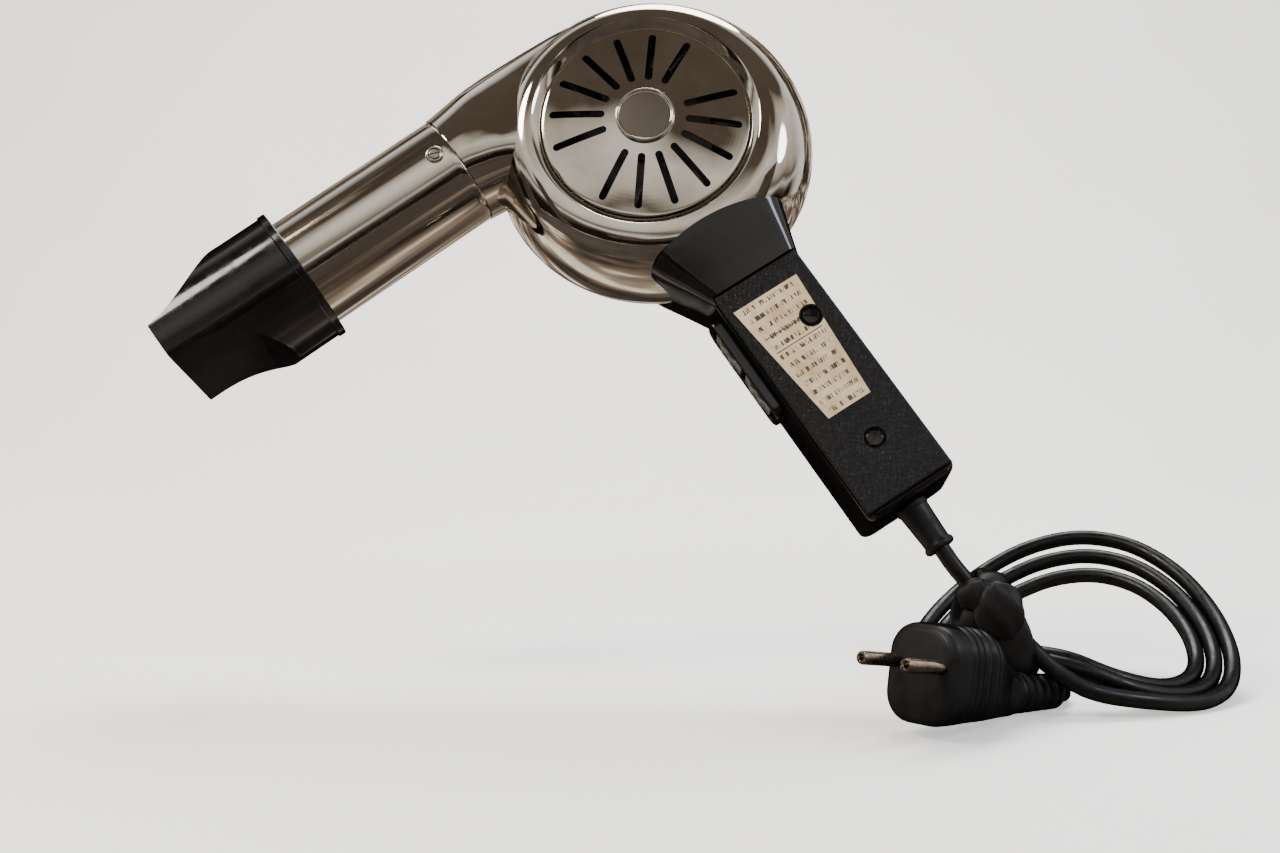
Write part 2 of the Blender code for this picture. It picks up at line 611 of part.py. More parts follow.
def make_rotor(frame, steel, copper, brass):
    count = 12
    tip = MOTOR_BORE - AIR_GAP
    outline = []
    for k in range(count):
        for share, radius in ((-0.36, tip), (0.0, tip), (0.36, tip), (0.40, 0.0105), (0.60, 0.0105)):
            angle = 2 * math.pi * (k + share) / count
            outline.append((radius * math.cos(angle), radius * math.sin(angle)))
    bore = []
    for i in range(len(outline)):
        angle = 2 * math.pi * (i / len(outline) - 0.36 / count)
        bore.append((0.0082 * math.cos(angle), 0.0082 * math.sin(angle)))
    core = holed_prism(outline, bore, STACK_FRONT_Y, STACK_REAR_Y)
    finish(core, "armature_core", frame, steel, smooth=False)
    sleeve = SHAFT_R + GAP / 3
    winding = turned([(sleeve, STACK_FRONT_Y - 0.0012), (0.0070, STACK_FRONT_Y - 0.0012), (0.0079, STACK_FRONT_Y),
                      (0.0079, STACK_REAR_Y), (0.0070, STACK_REAR_Y + 0.0009), (sleeve, STACK_REAR_Y + 0.0009)],
                     16, closed=True)
    finish(winding, "armature_winding", frame, copper)
    low, high = COMMUTATOR_Y
    segments = turned([(sleeve, low), (COMMUTATOR_R, low), (COMMUTATOR_R, high), (sleeve, high)], 16, closed=True)
    finish(segments, "commutator", frame, brass)


def brush_holder(side, y):
    """A square sleeve round the brush, closed at its outer end by a plate with a spring hole."""
    half, wall = BRUSH / 2 + GAP, 0.0006
    inner = [(-half, -half), (half, -half), (half, half), (-half, half)]
    outer = [(a / half * (half + wall), b / half * (half + wall)) for a, b in inner]
    start, end = COMMUTATOR_R + 0.0024, COMMUTATOR_R + 0.0095
    rings = []
    for x, ring in ((start, outer), (end, outer), (end, inner), (start, inner)):
        rings.append([Vector((side * x, y + a, b)) for a, b in ring])
    return loft(rings, closed=True)


def make_motor_cap(frame, chrome, steel):
    """A pressed cap over the motor with a ring of air slots round a flat middle."""
    seat = REAR_Y + GAP
    skin = 0.001
    cap = turned([(CAP_R, seat), (CAP_R, CAP_Y - 0.0020), (CAP_R - 0.0006, CAP_Y - 0.0008),
                  (CAP_R - 0.0020, CAP_Y), (0.004, CAP_Y), (0.0005, CAP_Y), (0.0005, CAP_Y - skin),
                  (CAP_R - 0.0024, CAP_Y - skin), (CAP_R - skin, CAP_Y - 0.0024), (CAP_R - skin, seat)],
                 32, closed=True)
    plug = finish(cap, "motor_cap", frame, chrome)
    slots = bmesh.new()
    for k in range(CAP_SLOTS):
        outline = rounded_outline(0.0125, 0.0225, -0.0011, 0.0011, 0.0010, 1)
        turn = Matrix.Rotation(2 * math.pi * (k + 0.5) / CAP_SLOTS, 2)
        piece = prism([tuple(turn @ Vector(p)) for p in outline], CAP_Y - 0.004, CAP_Y + 0.003)
        bmesh.ops.recalc_face_normals(piece, faces=piece.faces)
        mesh = bpy.data.meshes.new("slot")
        piece.to_mesh(mesh)
        piece.free()
        slots.from_mesh(mesh)
        bpy.data.meshes.remove(mesh)
    boolean(plug, cutter(slots, "cap_slots_tool", frame))
    boolean(plug, cutter(turned([(0.004, CAP_Y - 0.006), (0.004, CAP_Y - 0.0005)], 20), "cap_dimple_tool", frame))
    for number, place in enumerate(housing_screw_places(), 1):
        screw("housing_screw_%d" % number, frame, (place[0], REAR_Y + GAP, place[1]),
              0.0026, 0.0013, 0.0014, 0.0080, (0, 1, 0), steel)


# --------------------------------------------------------------------------------- heater --------
def make_heater(frame, mica, wire, brass):
    half, thick = 0.0130, 0.0008
    start, end = -0.086, -0.148
    cross = [(thick, half), (-thick, half), (-thick, thick), (-half, thick), (-half, -thick), (-thick, -thick),
             (-thick, -half), (thick, -half), (thick, -thick), (half, -thick), (half, thick), (thick, thick)]
    former = prism([(y, BARREL_Z + z) for y, z in cross], end, start, "X")
    finish(former, "heater_former", frame, mica, smooth=False)
    turns, per_turn, radius = 6, 9, 0.0146
    points = []
    for i in range(turns * per_turn + 1):
        angle = 2 * math.pi * i / per_turn
        x = start - 0.004 + (end - start + 0.008) * i / (turns * per_turn)
        points.append((x, radius * math.cos(angle), BARREL_Z + radius * math.sin(angle)))
    tube("heater_coil", points, 0.0007, frame, wire, resolution=1)
    cut_out = box((start + 0.001, -0.0035, BARREL_Z - 0.005), (start + 0.006, 0.0035, BARREL_Z + 0.005), 0.0008)
    finish(cut_out, "thermal_cutout", frame, brass)


def tube(name, points, radius, parent, finish_material, resolution=2):
    curve = bpy.data.curves.new(name, "CURVE")
    curve.dimensions = "3D"
    curve.bevel_depth = radius
    curve.bevel_resolution = resolution
    curve.use_fill_caps = True
    spline = curve.splines.new("POLY")
    spline.points.add(len(points) - 1)
    for point, place in zip(spline.points, points):
        point.co = (*place, 1.0)
    curve.materials.append(finish_material)
    made = bpy.data.objects.new(name, curve)
    bpy.context.scene.collection.objects.link(made)
    made.parent = parent
    return made


# --------------------------------------------------------------------------------- handle --------
def handle_ring(down, left, right, front, rear, corner):
    outline = rounded_outline(-left, right, -front, rear, corner, 5)
    return [Vector((x, y, -down)) for x, y in outline]


def collar_rings(shrink=0.0):
    stations = [(COLLAR_REACH, 0.0378, 0.0318, 0.0240, 0.0238, 0.0130), (0.0580, 0.0313, 0.0262, 0.0207, 0.0212, 0.0090),
                (0.0690, 0.0247, 0.0224, 0.0181, 0.0194, 0.0060),
                (HANDLE_TOP, HANDLE_HALF, HANDLE_HALF, -HANDLE_FRONT_Y, HANDLE_REAR_Y, HANDLE_CORNER)]
    return [handle_ring(down, left - shrink, right - shrink, front - shrink, rear - shrink, corner - shrink / 2)
            for down, left, right, front, rear, corner in stations]


def make_handle(handle, frame, black):
    rear, front = HANDLE_REAR_Y, -HANDLE_FRONT_Y
    lower = [handle_ring(HANDLE_END - 0.0030, HANDLE_HALF, HANDLE_HALF, front, rear, HANDLE_CORNER),
             handle_ring(HANDLE_END - 0.0009, HANDLE_HALF - 0.0009, HANDLE_HALF - 0.0009, front - 0.0009,
                         rear - 0.0009, HANDLE_CORNER),
             handle_ring(HANDLE_END, HANDLE_HALF - 0.0030, HANDLE_HALF - 0.0030, front - 0.0030, rear - 0.0030,
                         HANDLE_CORNER)]
    body = finish(loft(collar_rings() + lower), "handle_body", handle, black)
    wall = HANDLE_WALL
    inner_end = HANDLE_END - 0.0040
    core = collar_rings(wall)
    core += [handle_ring(inner_end, HANDLE_HALF - wall, HANDLE_HALF - wall, front - wall, rear - wall,
                         HANDLE_CORNER - wall / 2)]
    boolean(body, cutter(loft(core), "handle_core_tool", handle))
    seat = box((-COVER_HALF - GAP, HANDLE_FRONT_Y - 0.01, -COVER_END - GAP),
               (COVER_HALF + GAP, HANDLE_FRONT_Y + COVER_THICK + GAP, -COVER_TOP + GAP))
    boolean(body, cutter(seat, "cover_seat_tool", handle))
    arch = cutter(turned([(ARCH_R + 0.06, -0.05), (ARCH_R + 0.06, 0.05), (ARCH_R, 0.05), (ARCH_R, -0.05)], 96,
                         ARCH_X, -ARCH_TOP - ARCH_R, closed=True), "arch_tool", handle)
    waste = box((-0.09, -0.09, -ARCH_TOP - 0.030), (0.09, 0.09, 0.0))
    arch_part = cutter(waste, "arch_waste", handle)
    boolean(arch, arch_part, "INTERSECT")
    boolean(body, arch)
    drum = cutter(loft([drum_ring(0.030, BEZEL_Y - GAP - 0.0005, 0)] + drum_rings(GAP)), "saddle_tool", frame)
    boolean(body, drum)
    slot = box((-HANDLE_HALF - 0.01, -SWITCH_DEPTH / 2 + 0.0022, -SWITCH_END + 0.0030),
               (-HANDLE_HALF + 0.006, SWITCH_DEPTH / 2 - 0.0022, -SWITCH_TOP - 0.0030))
    boolean(body, cutter(slot, "switch_slot_tool", handle))
    outlet = turned([(RELIEF_R - 0.0018 + GAP, -0.02), (RELIEF_R - 0.0018 + GAP, 0.02)], 24)
    bmesh.ops.rotate(outlet, matrix=Matrix.Rotation(math.radians(90), 3, "X"), verts=outlet.verts)
    bmesh.ops.translate(outlet, vec=(0, 0, -HANDLE_END), verts=outlet.verts)
    boolean(body, cutter(outlet, "outlet_tool", handle))


def label_half_width(down, side):
    share = (down - LABEL_TOP) / (LABEL_END - LABEL_TOP)
    top, end = ((-0.0158, -0.0098), (0.0130, 0.0091))[side]
    return top + (end - top) * share


def make_cover(handle, grain, paper, steel):
    """A flat plate with a bevelled edge, sunk screws and a thin tapered label that the top screw notches."""
    low, high = HANDLE_FRONT_Y, HANDLE_FRONT_Y + COVER_THICK
    edge = 0.0007
    rings = []
    for y, inset in ((high, 0.0), (low + edge, 0.0), (low, edge)):
        outline = rounded_outline(-COVER_HALF + inset, COVER_HALF - inset, -COVER_END + inset, -COVER_TOP - inset,
                                  0.0016, 3)
        rings.append([Vector((x, y, z)) for x, z in outline])
    cover = finish(loft(rings), "handle_cover", handle, grain)
    label_low = low - GAP / 3
    outline = [(label_half_width(down, side), -down) for down, side in
               ((LABEL_TOP, 0), (LABEL_END, 0), (LABEL_END, 1), (LABEL_TOP, 1))]
    label = finish(prism(outline, label_low - LABEL_THICK, label_low), "label_plate", handle, paper, smooth=False)
    for name, (x, down) in COVER_SCREWS.items():
        way = cutter(turned([(COVER_HOLE_R, low - 0.004), (COVER_HOLE_R, low + 0.0014), (0.0017, low + 0.0014),
                             (0.0017, high + 0.004)], 24, x, -down), name + "_tool", handle)
        boolean(cover, way)
        if name == "cover_screw_top":
            boolean(label, way)
        screw(name, handle, (x, low + 0.0014 - GAP, -down), COVER_SCREW_R, 0.0011, 0.0014, 0.0075, (0, -1, 0), steel)


def make_switch(handle, black, grey, dark):
    """A raised frame on the handle's front edge with two rockers that pivot across it."""
    outer_x = -HANDLE_HALF - SWITCH_PROUD
    low_x = -HANDLE_HALF - GAP
    half = SWITCH_DEPTH / 2
    outline = rounded_outline(-SWITCH_END, -SWITCH_TOP, -half, half, 0.0045, 5)
    opening = rounded_outline(-SWITCH_END + 0.0032, -SWITCH_TOP - 0.0032, -half + 0.0024, half - 0.0024, 0.0015, 5)
    rings = [[Vector((low_x, y, z)) for z, y in outline],
             [Vector((outer_x + 0.0008, y, z)) for z, y in outline],
             [Vector((outer_x, y * 0.93, z)) for z, y in outline],
             [Vector((outer_x, y, z)) for z, y in opening], [Vector((low_x, y, z)) for z, y in opening]]
    finish(loft(rings, closed=True), "switch_bezel", handle, black)
    middle = (SWITCH_TOP + SWITCH_END) / 2
    rocker_half = (SWITCH_END - SWITCH_TOP) / 4 - 0.0024
    rockers = (("rocker_heat", middle - rocker_half - 0.0005), ("rocker_fan", middle + rocker_half + 0.0005))
    for name, down in rockers:
        pivot_x = -HANDLE_HALF + 0.0012
        top = outer_x - pivot_x
        profile = [(0.0030, -0.0030), (0.0030, 0.0030), (top * 0.45, rocker_half - 0.0012),
                   (top - 0.0016, rocker_half - 0.0010), (top - 0.0004, rocker_half * 0.5), (top + 0.0002, 0.0),
                   (top - 0.0004, -rocker_half * 0.5), (top - 0.0016, -rocker_half + 0.0010),
                   (top * 0.45, -rocker_half + 0.0012)]
        width = half - 0.0024 - 0.0006
        rocker = prism(profile, -width, width)
        finish(rocker, name, handle, grey, (pivot_x, 0, -down))
    switch = box((-HANDLE_HALF + 0.0052, -half + 0.0016, -SWITCH_END + 0.003),
                 (-HANDLE_HALF + 0.0190, half - 0.0016, -SWITCH_TOP - 0.003), 0.0008)
    finish(switch, "switch_body", handle, dark)


def make_handle_inside(handle, cream, steel):
    block = box((-0.009, -0.006, -0.150), (0.009, 0.006, -0.136), 0.0008)
    finish(block, "terminal_block", handle, cream)
    clamp = box((-0.008, -0.0045, -0.1705), (0.008, 0.0045, -0.1645), 0.0006)
    finish(clamp, "cord_clamp", handle, steel)


def make_relief(handle, rubber):
    """The strain relief: a flange inside the handle, a neck in its end wall, then a tapered sleeve."""
    neck = RELIEF_R - 0.0018
    bore = CORD_R + GAP
    inside = HANDLE_END - 0.0040
    profile = [(bore, inside - 0.0030), (RELIEF_R, inside - 0.0030), (RELIEF_R, inside - GAP), (neck, inside - GAP),
               (neck, HANDLE_END + GAP), (RELIEF_R, HANDLE_END + GAP), (RELIEF_R, HANDLE_END + 0.0020),
               (RELIEF_R - 0.0007, HANDLE_END + 0.0026), (RELIEF_R - 0.0014, RELIEF_END - 0.0022),
               (RELIEF_R - 0.0006, RELIEF_END - 0.0018), (RELIEF_R - 0.0006, RELIEF_END - 0.0004),
               (RELIEF_R - 0.0012, RELIEF_END), (bore, RELIEF_END)]
    sleeve = turned(profile, 20, closed=True)
    bmesh.ops.rotate(sleeve, matrix=Matrix.Rotation(math.radians(-90), 3, "X"), verts=sleeve.verts)
    finish(sleeve, "strain_relief", handle, rubber)


# ---------------------------------------------------------------------------- lead and plug ------
def smooth_route(points, spacing):
    """A Catmull-Rom curve through the points, read at an even spacing."""
    knots = [2 * points[0] - points[1], *points, 2 * points[-1] - points[-2]]
    fine = []
    for a, b, c, d in zip(knots, knots[1:], knots[2:], knots[3:]):
        for i in range(24):
            t = i / 24
            fine.append(0.5 * (2 * b + (c - a) * t + (2 * a - 5 * b + 4 * c - d) * t ** 2
                               + (3 * b - a - 3 * c + d) * t ** 3))
    fine.append(points[-1])
    lengths = [0.0]
    for a, b in zip(fine, fine[1:]):
        lengths.append(lengths[-1] + (b - a).length)
    count = max(2, round(lengths[-1] / spacing))
    route, k = [], 0
    for i in range(count + 1):
        target = lengths[-1] * i / count
        while k < len(fine) - 2 and lengths[k + 1] < target:
            k += 1
        span = lengths[k + 1] - lengths[k]
        share = 0.0 if span == 0 else (target - lengths[k]) / span
        route.append(fine[k].lerp(fine[k + 1], share))
    return route


def coil_point(angle, radius, rise=0.0):
    """The coil's surface: a ring that leans up at the back, sags at its sides and has a slight twist."""
    wave = (0.0194 * math.sin(angle) + 0.0042 * math.cos(angle) + 0.0076 * math.sin(2 * angle)
            - 0.0063 * math.cos(2 * angle))
    return COIL_CENTRE + Vector((radius * math.cos(angle), radius * COIL_FLATTEN * math.sin(angle),
                                 wave * radius / COIL_R + rise))


def make_coil(rubber):
    """The tied turns as one open band, thinner where it rests on the surface."""
    inner = COIL_R - 2 * CORD_R * COIL_TURNS
    middle, half = (COIL_R + inner) / 2, (COIL_R - inner) / 2 + CORD_R
    steps, around = 30, 10
    rings = []
    for i in range(steps + 1):
        angle = COIL_START + (COIL_END - COIL_START) * i / steps
        thick = 0.0049 - 0.0016 * math.cos(angle - COIL_START)
        rings.append([coil_point(angle, middle + half * math.cos(2 * math.pi * k / around),
                                 thick * math.sin(2 * math.pi * k / around)) for k in range(around)])
    finish(loft(rings), "cord_coil", None, rubber)


def make_lead(handle_matrix, rubber):
    """From the cord clamp through the strain relief, down over the plug's boot and on to the coil."""
    start = handle_matrix @ Vector((0, 0, -(HANDLE_END - 0.0080)))
    leave = handle_matrix @ Vector((0, 0, -RELIEF_END))
    out = (leave - start).normalized()
    knot = leave + Vector((0.0175, -0.0060, -0.0215))
    route = [start, leave, leave + out * 0.010, knot, Vector((0.2320, -0.0490, -0.1420)),
             Vector((0.2420, -0.0525, -0.1515)), Vector((0.2560, -0.0545, -0.1600))]
    points = smooth_route(route, 3 * CORD_R)
    tube("cord_lead", points, CORD_R, None, rubber)
    nearest = min(range(1, len(points) - 1), key=lambda i: (points[i] - knot).length)
    along = (points[nearest + 1] - points[nearest - 1]).normalized()
    bore = CORD_R + 0.0012
    profile = [(bore, -TIE_LENGTH / 2), (TIE_R - 0.002, -TIE_LENGTH / 2), (TIE_R, -TIE_LENGTH / 4),
               (TIE_R, TIE_LENGTH / 4), (TIE_R - 0.002, TIE_LENGTH / 2), (bore, TIE_LENGTH / 2)]
    tie = turned(profile, 20, closed=True)
    turn = Vector((0, 1, 0)).rotation_difference(along).to_matrix().to_4x4()
    bmesh.ops.transform(tie, matrix=turn, verts=tie.verts)
    finish(tie, "cord_tie", None, rubber, points[nearest])


def make_plug(rubber, steel):
    """A two-pin plug lying with its pins up a little, its boot on the surface, and the tail of the lead."""
    plug = empty("plug_frame", None, PLUG_FACE)
    pins_to = Vector((-math.cos(PLUG_YAW) * math.cos(PLUG_PITCH), -math.sin(PLUG_YAW) * math.cos(PLUG_PITCH),
                      math.sin(PLUG_PITCH)))
    side = Vector((math.sin(PLUG_YAW), -math.cos(PLUG_YAW), 0))
    up = side.cross(pins_to)
    if up.z < 0:
        up = -up

    def at(back, across, rise):
        return across * side + rise * up - back * pins_to

    rings = []
    for back, high, low, half in ((0.0, 0.0125, 0.0193, 0.0130), (0.0025, 0.0140, 0.0204, 0.0150),
                                  (0.0250, 0.0140, 0.0184, 0.0150), (0.0380, 0.0055, 0.0172, 0.0105),
                                  (BOOT_START - GAP, 0.0005, 0.0163, 0.0088)):
        outline = rounded_outline(-half, half, -low, high, half * 0.72, 4)
        rings.append([at(back, across, rise) for across, rise in outline])
    finish(loft(rings), "plug_body", plug, rubber)
    for name, side_sign in (("plug_pin_a", -1), ("plug_pin_b", 1)):
        centre = side_sign * PIN_APART / 2
        rings = []
        for back, radius in ((-GAP, PIN_R), (-PIN_LENGTH + 0.0012, PIN_R), (-PIN_LENGTH, PIN_R * 0.62)):
            rings.append([at(back, centre + radius * math.cos(a), radius * math.sin(a))
                          for a in (2 * math.pi * k / 16 for k in range(16))])
        finish(loft(rings), name, plug, steel)
    rings = []
    ribs = 5
    for i in range(ribs * 2 + 2):
        share = i / (ribs * 2 + 1)
        back = BOOT_START + (BOOT_END - BOOT_START) * share
        radius = BOOT_R[0] + (BOOT_R[1] - BOOT_R[0]) * share - (0.0007 if i % 2 else 0.0)
        drop = BOOT_DROP[0] + (BOOT_DROP[1] - BOOT_DROP[0]) * share
        rings.append([at(back, radius * math.cos(a), radius * math.sin(a) - drop)
                      for a in (2 * math.pi * k / 18 for k in range(18))])
    finish(loft(rings), "plug_boot", plug, rubber)
    leave = PLUG_FACE + at(BOOT_END + GAP, 0, -BOOT_DROP[1])
    rest = FLOOR_Z + CORD_R + 0.0001
    tail = [leave, leave - 0.006 * pins_to, Vector((0.2545, -0.0270, rest)), Vector((0.2570, -0.0130, rest)),
            Vector((0.2510, -0.0010, rest + 0.001)), Vector((0.2430, 0.0065, rest + 0.006))]
    tube("cord_tail", smooth_route(tail, 3 * CORD_R), CORD_R, None, rubber)


def main():
    clear_scene()
    chrome = material("polished chrome", (0.62, 0.60, 0.57), 0.08, 1.0)
    bronze = material("brushed nickel", (0.30, 0.27, 0.23), 0.4, 0.9)
    steel = material("steel", (0.50, 0.49, 0.47), 0.3, 1.0)
    black = material("black bakelite", (0.012, 0.012, 0.013), 0.18)
    grain = material("grained leathercloth", (0.015, 0.015, 0.016), 0.45)
    paper = material("cream label", (0.72, 0.58, 0.38), 0.5)
    rubber = material("black rubber", (0.015, 0.015, 0.015), 0.5)
    plastic = material("grey plastic", (0.20, 0.20, 0.20), 0.5)
    copper = material("copper wire", (0.45, 0.16, 0.07), 0.4, 0.9)
    brass = material("brass", (0.55, 0.40, 0.15), 0.35, 1.0)
    carbon = material("carbon", (0.03, 0.03, 0.03), 0.7)
    mica = material("mica board", (0.50, 0.42, 0.30), 0.6)

    held = empty("held_frame")
    held.rotation_mode = "YXZ"
    held.rotation_euler = (LEAN, ROLL, 0.0)
    frame = empty("dryer_frame", held, -BARREL_REST)
    handle = empty("handle_frame", frame)
    handle.rotation_euler = (0.0, HANDLE_TILT, 0.0)
    nozzle_pivot = empty("nozzle_frame", frame, (0.0, 0.0, BARREL_Z))

    rim_holes = make_housing(frame, chrome)
    make_grille(frame, chrome, bronze)
    make_barrel(frame, chrome, steel)
    make_nozzle(frame, nozzle_pivot, black, steel)
    make_fan(frame, plastic, steel)
    make_motor(frame, rim_holes, steel, copper, brass, carbon, steel)
    make_motor_cap(frame, chrome, steel)
    make_heater(frame, mica, steel, brass)
    make_handle(handle, frame, black)
    make_cover(handle, grain, paper, steel)
    make_switch(handle, black, plastic, carbon)
    make_handle_inside(handle, paper, steel)
    make_relief(handle, rubber)
    bpy.context.view_layer.update()
    make_lead(handle.matrix_world.copy(), rubber)
    make_coil(rubber)
    make_plug(rubber, steel)


main()
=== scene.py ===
"""Finish of a hair dryer with a polished blower drum, a fishtail nozzle, a grip and a tied mains lead.

Sizes are in metres. The dryer's own axes have the drum's axis along Y, the barrel along -X and the grip
along -Z; held() turns and moves them to where the dryer is held. The lead's points are given as they lie.
"""
import math

import bmesh
import bpy
import numpy as np
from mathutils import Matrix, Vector


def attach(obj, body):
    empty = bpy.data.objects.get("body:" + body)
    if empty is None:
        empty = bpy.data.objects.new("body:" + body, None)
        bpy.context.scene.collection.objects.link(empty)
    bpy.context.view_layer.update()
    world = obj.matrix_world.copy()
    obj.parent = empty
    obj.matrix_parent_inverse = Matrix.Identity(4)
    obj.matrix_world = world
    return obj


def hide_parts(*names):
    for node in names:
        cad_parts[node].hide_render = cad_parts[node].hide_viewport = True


bl_info = {
    "name": "Hair Dryer Finish",
    "version": (1, 0, 0),
    "blender": (4, 5, 0),
    "location": "View3D > Sidebar > Dryer",
    "description": "Builds the visible pieces, materials and studio of a hair dryer",
    "category": "Object",
}

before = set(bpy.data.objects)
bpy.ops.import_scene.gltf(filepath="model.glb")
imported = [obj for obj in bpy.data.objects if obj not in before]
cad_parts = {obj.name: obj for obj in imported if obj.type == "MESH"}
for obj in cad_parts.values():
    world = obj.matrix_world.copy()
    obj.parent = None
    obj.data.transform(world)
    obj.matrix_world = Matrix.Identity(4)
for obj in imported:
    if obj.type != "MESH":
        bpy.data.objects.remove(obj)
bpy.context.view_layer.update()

# ---- how the dryer is held
LEAN = math.radians(-18.8)
ROLL = math.radians(-37.0)
REST = np.array([-0.105, 0.0, 0.0135])
GRIP_TILT = math.radians(3.4)
FLOOR_Z = -0.1683

# ---- drum, duct and barrel
DRUM_R = 0.0642
DRUM_DROP = 0.0047
WIDE_Y = 0.003
BEZEL_R = 0.0453
BEZEL_Y = -0.0215
LEDGE_Y = -0.0176
LEDGE_OUT = 0.0414
REAR_Y = 0.021
REAR_FLAT_R = 0.038
WALL = 0.0015
BARREL_Z = 0.0365
BARREL_R = 0.023
SEAM_X = -0.068
BARREL_END_X = -0.157
BARREL_SCREW_X = -0.0754

# ---- nozzle
NOZZLE_REAR_X = -0.1426
NOZZLE_TIP_X = -0.203
SHOULDER_X = -0.1636
NOZZLE_R = 0.0276
NOZZLE_TIP_R = 0.0282
NOZZLE_TOP = 0.0045
NOZZLE_BOTTOM = -0.0104

# ---- grip
GRIP_HALF = 0.0193
GRIP_FRONT = -0.016
GRIP_REAR = 0.018
GRIP_TOP = 0.0790
GRIP_END = 0.1812
COVER_HALF = 0.0187
COVER_TOP = 0.0765
COVER_END = 0.1788
COVER_THICK = 0.0024
COVER_SCREWS = ((0.0082, 0.1030), (0.0003, 0.1557))
COVER_SCREW_R = 0.0032
HOUSING_SCREW_RING = 0.0345
LABEL_TOP = 0.0860
LABEL_END = 0.1404
SWITCH_TOP = 0.0800
SWITCH_END = 0.1275
RELIEF_END = 0.2015

# ---- lead and plug
COIL_CENTRE = np.array([0.2601, 0.0080, -0.1466])
COIL_R = 0.0631
COIL_FLATTEN = 0.96
PLUG_FACE = np.array([0.1880, -0.0920, -0.1425])
PLUG_YAW = math.radians(43)
PLUG_PITCH = math.radians(9)
BOOT_START = 0.0473
BOOT_END = 0.0780
PIN_APART = 0.019
PIN_R = 0.0024

# ---- the view
VIEW_LENS_MM = 43.875
VIEW_FROM = (0.11638, -0.61924, -0.04878)
VIEW_TURN_DEG = (88.5, 0.0, 2.459)


# ------------------------------------------------------------------ frames of the dryer ---------
def about_x(angle):
    c, s = math.cos(angle), math.sin(angle)
    return np.array([[1, 0, 0], [0, c, -s], [0, s, c]])


def about_y(angle):
    c, s = math.cos(angle), math.sin(angle)
    return np.array([[c, 0, s], [0, 1, 0], [-s, 0, c]])


HELD = about_x(LEAN) @ about_y(ROLL)
GRIP = about_y(GRIP_TILT)


def held(points):
    """Dryer axes to where it is held: subtract the rest point, then turn."""
    return (np.asarray(points, float) - REST) @ HELD.T


def gripped(points):
    """The grip's own axes, tilted a little about the drum's axis, to where the dryer is held."""
    return held(np.asarray(points, float) @ GRIP.T)


def plugged(back, across, rise):
    """A place on the plug to the scene: back from its face, across along its pins' line, up from them."""
    pins = np.array([-math.cos(PLUG_YAW) * math.cos(PLUG_PITCH), -math.sin(PLUG_YAW) * math.cos(PLUG_PITCH),
                     math.sin(PLUG_PITCH)])
    side = np.array([math.sin(PLUG_YAW), -math.cos(PLUG_YAW), 0.0])
    up = np.cross(side, pins)
    up = up if up[2] > 0 else -up
    back, across, rise = np.broadcast_arrays(np.asarray(back, float), across, rise)
    return PLUG_FACE + across[..., None] * side + rise[..., None] * up - back[..., None] * pins


# ------------------------------------------------------------------ meshes ----------------------
def skin(grid, loop=False, caps=True):
    """Vertices and faces of a grid of closed rings; the rings close on themselves or get caps at the ends."""
    rows, count = grid.shape[:2]
    index = np.arange(rows * count).reshape(rows, count)
    low = index if loop else index[:-1]
    high = np.roll(index, -1, 0) if loop else index[1:]
    faces = np.stack([low, np.roll(low, -1, 1), np.roll(high, -1, 1), high], -1).reshape(-1, 4).tolist()
    if caps and not loop:
        faces += [index[0].tolist(), index[-1][::-1].tolist()]
    return grid.reshape(-1, 3), faces


def make_piece(name, surface, finish, sharp=38.0, uv=None):
    """A mesh object at the origin, its doubles merged, its faces outward, and its hard edges marked."""
    points, faces = surface
    mesh = bpy.data.meshes.new(name)
    mesh.from_pydata(np.asarray(points, float).tolist(), [], faces)
    if uv is not None:
        layer = mesh.uv_layers.new(name="surface")
        corner = np.zeros(len(mesh.loops), int)
        mesh.loops.foreach_get("vertex_index", corner)
        layer.data.foreach_set("uv", np.asarray(uv, float)[corner].ravel())
    bm = bmesh.new()
    bm.from_mesh(mesh)
    bmesh.ops.remove_doubles(bm, verts=bm.verts, dist=1e-6)
    bmesh.ops.recalc_face_normals(bm, faces=bm.faces)
    if bm.calc_volume(signed=True) < 0:
        bmesh.ops.reverse_faces(bm, faces=bm.faces)
    bm.to_mesh(mesh)
    bm.free()
    made = bpy.data.objects.new(name, mesh)
    bpy.context.scene.collection.objects.link(made)
    mesh.materials.append(finish)
    shade(made, sharp)
    return made


def shade(made, sharp=38.0):
    made.data.shade_smooth()
    made.data.set_sharp_from_angle(angle=math.radians(sharp))


def carve(made, tools, sharp=38.0):
    """Cut, join or keep what the tools say, in order, and leave one plain mesh."""
    for tool, operation in tools:
        change = made.modifiers.new(tool.name, "BOOLEAN")
        change.operation = operation
        change.object = tool
        change.solver = "EXACT"
    bpy.context.view_layer.update()
    depsgraph = bpy.context.evaluated_depsgraph_get()
    mesh = bpy.data.meshes.new_from_object(made.evaluated_get(depsgraph))
    made.modifiers.clear()
    old = made.data
    made.data = mesh
    mesh.name = made.name
    bpy.data.meshes.remove(old)
    shade(made, sharp)
    return made


def drop(tools):
    for tool in tools:
        bpy.data.objects.remove(tool, do_unlink=True)


def rounded(profile, radius=0.0004, steps=3):
    """A profile whose inner corners are each replaced by a short quadratic arc."""
    profile = np.asarray(profile, float)
    points = [profile[:1]]
    t = np.linspace(0, 1, steps + 2)[:, None]
    for a, b, c in zip(profile, profile[1:], profile[2:]):
        reach = min(radius, 0.45 * np.linalg.norm(b - a), 0.45 * np.linalg.norm(c - b))
        p = b + (a - b) / max(np.linalg.norm(a - b), 1e-9) * reach
        q = b + (c - b) / max(np.linalg.norm(c - b), 1e-9) * reach
        points.append((1 - t) ** 2 * p + 2 * t * (1 - t) * b + t ** 2 * q)
    points.append(profile[-1:])
    return np.concatenate(points)


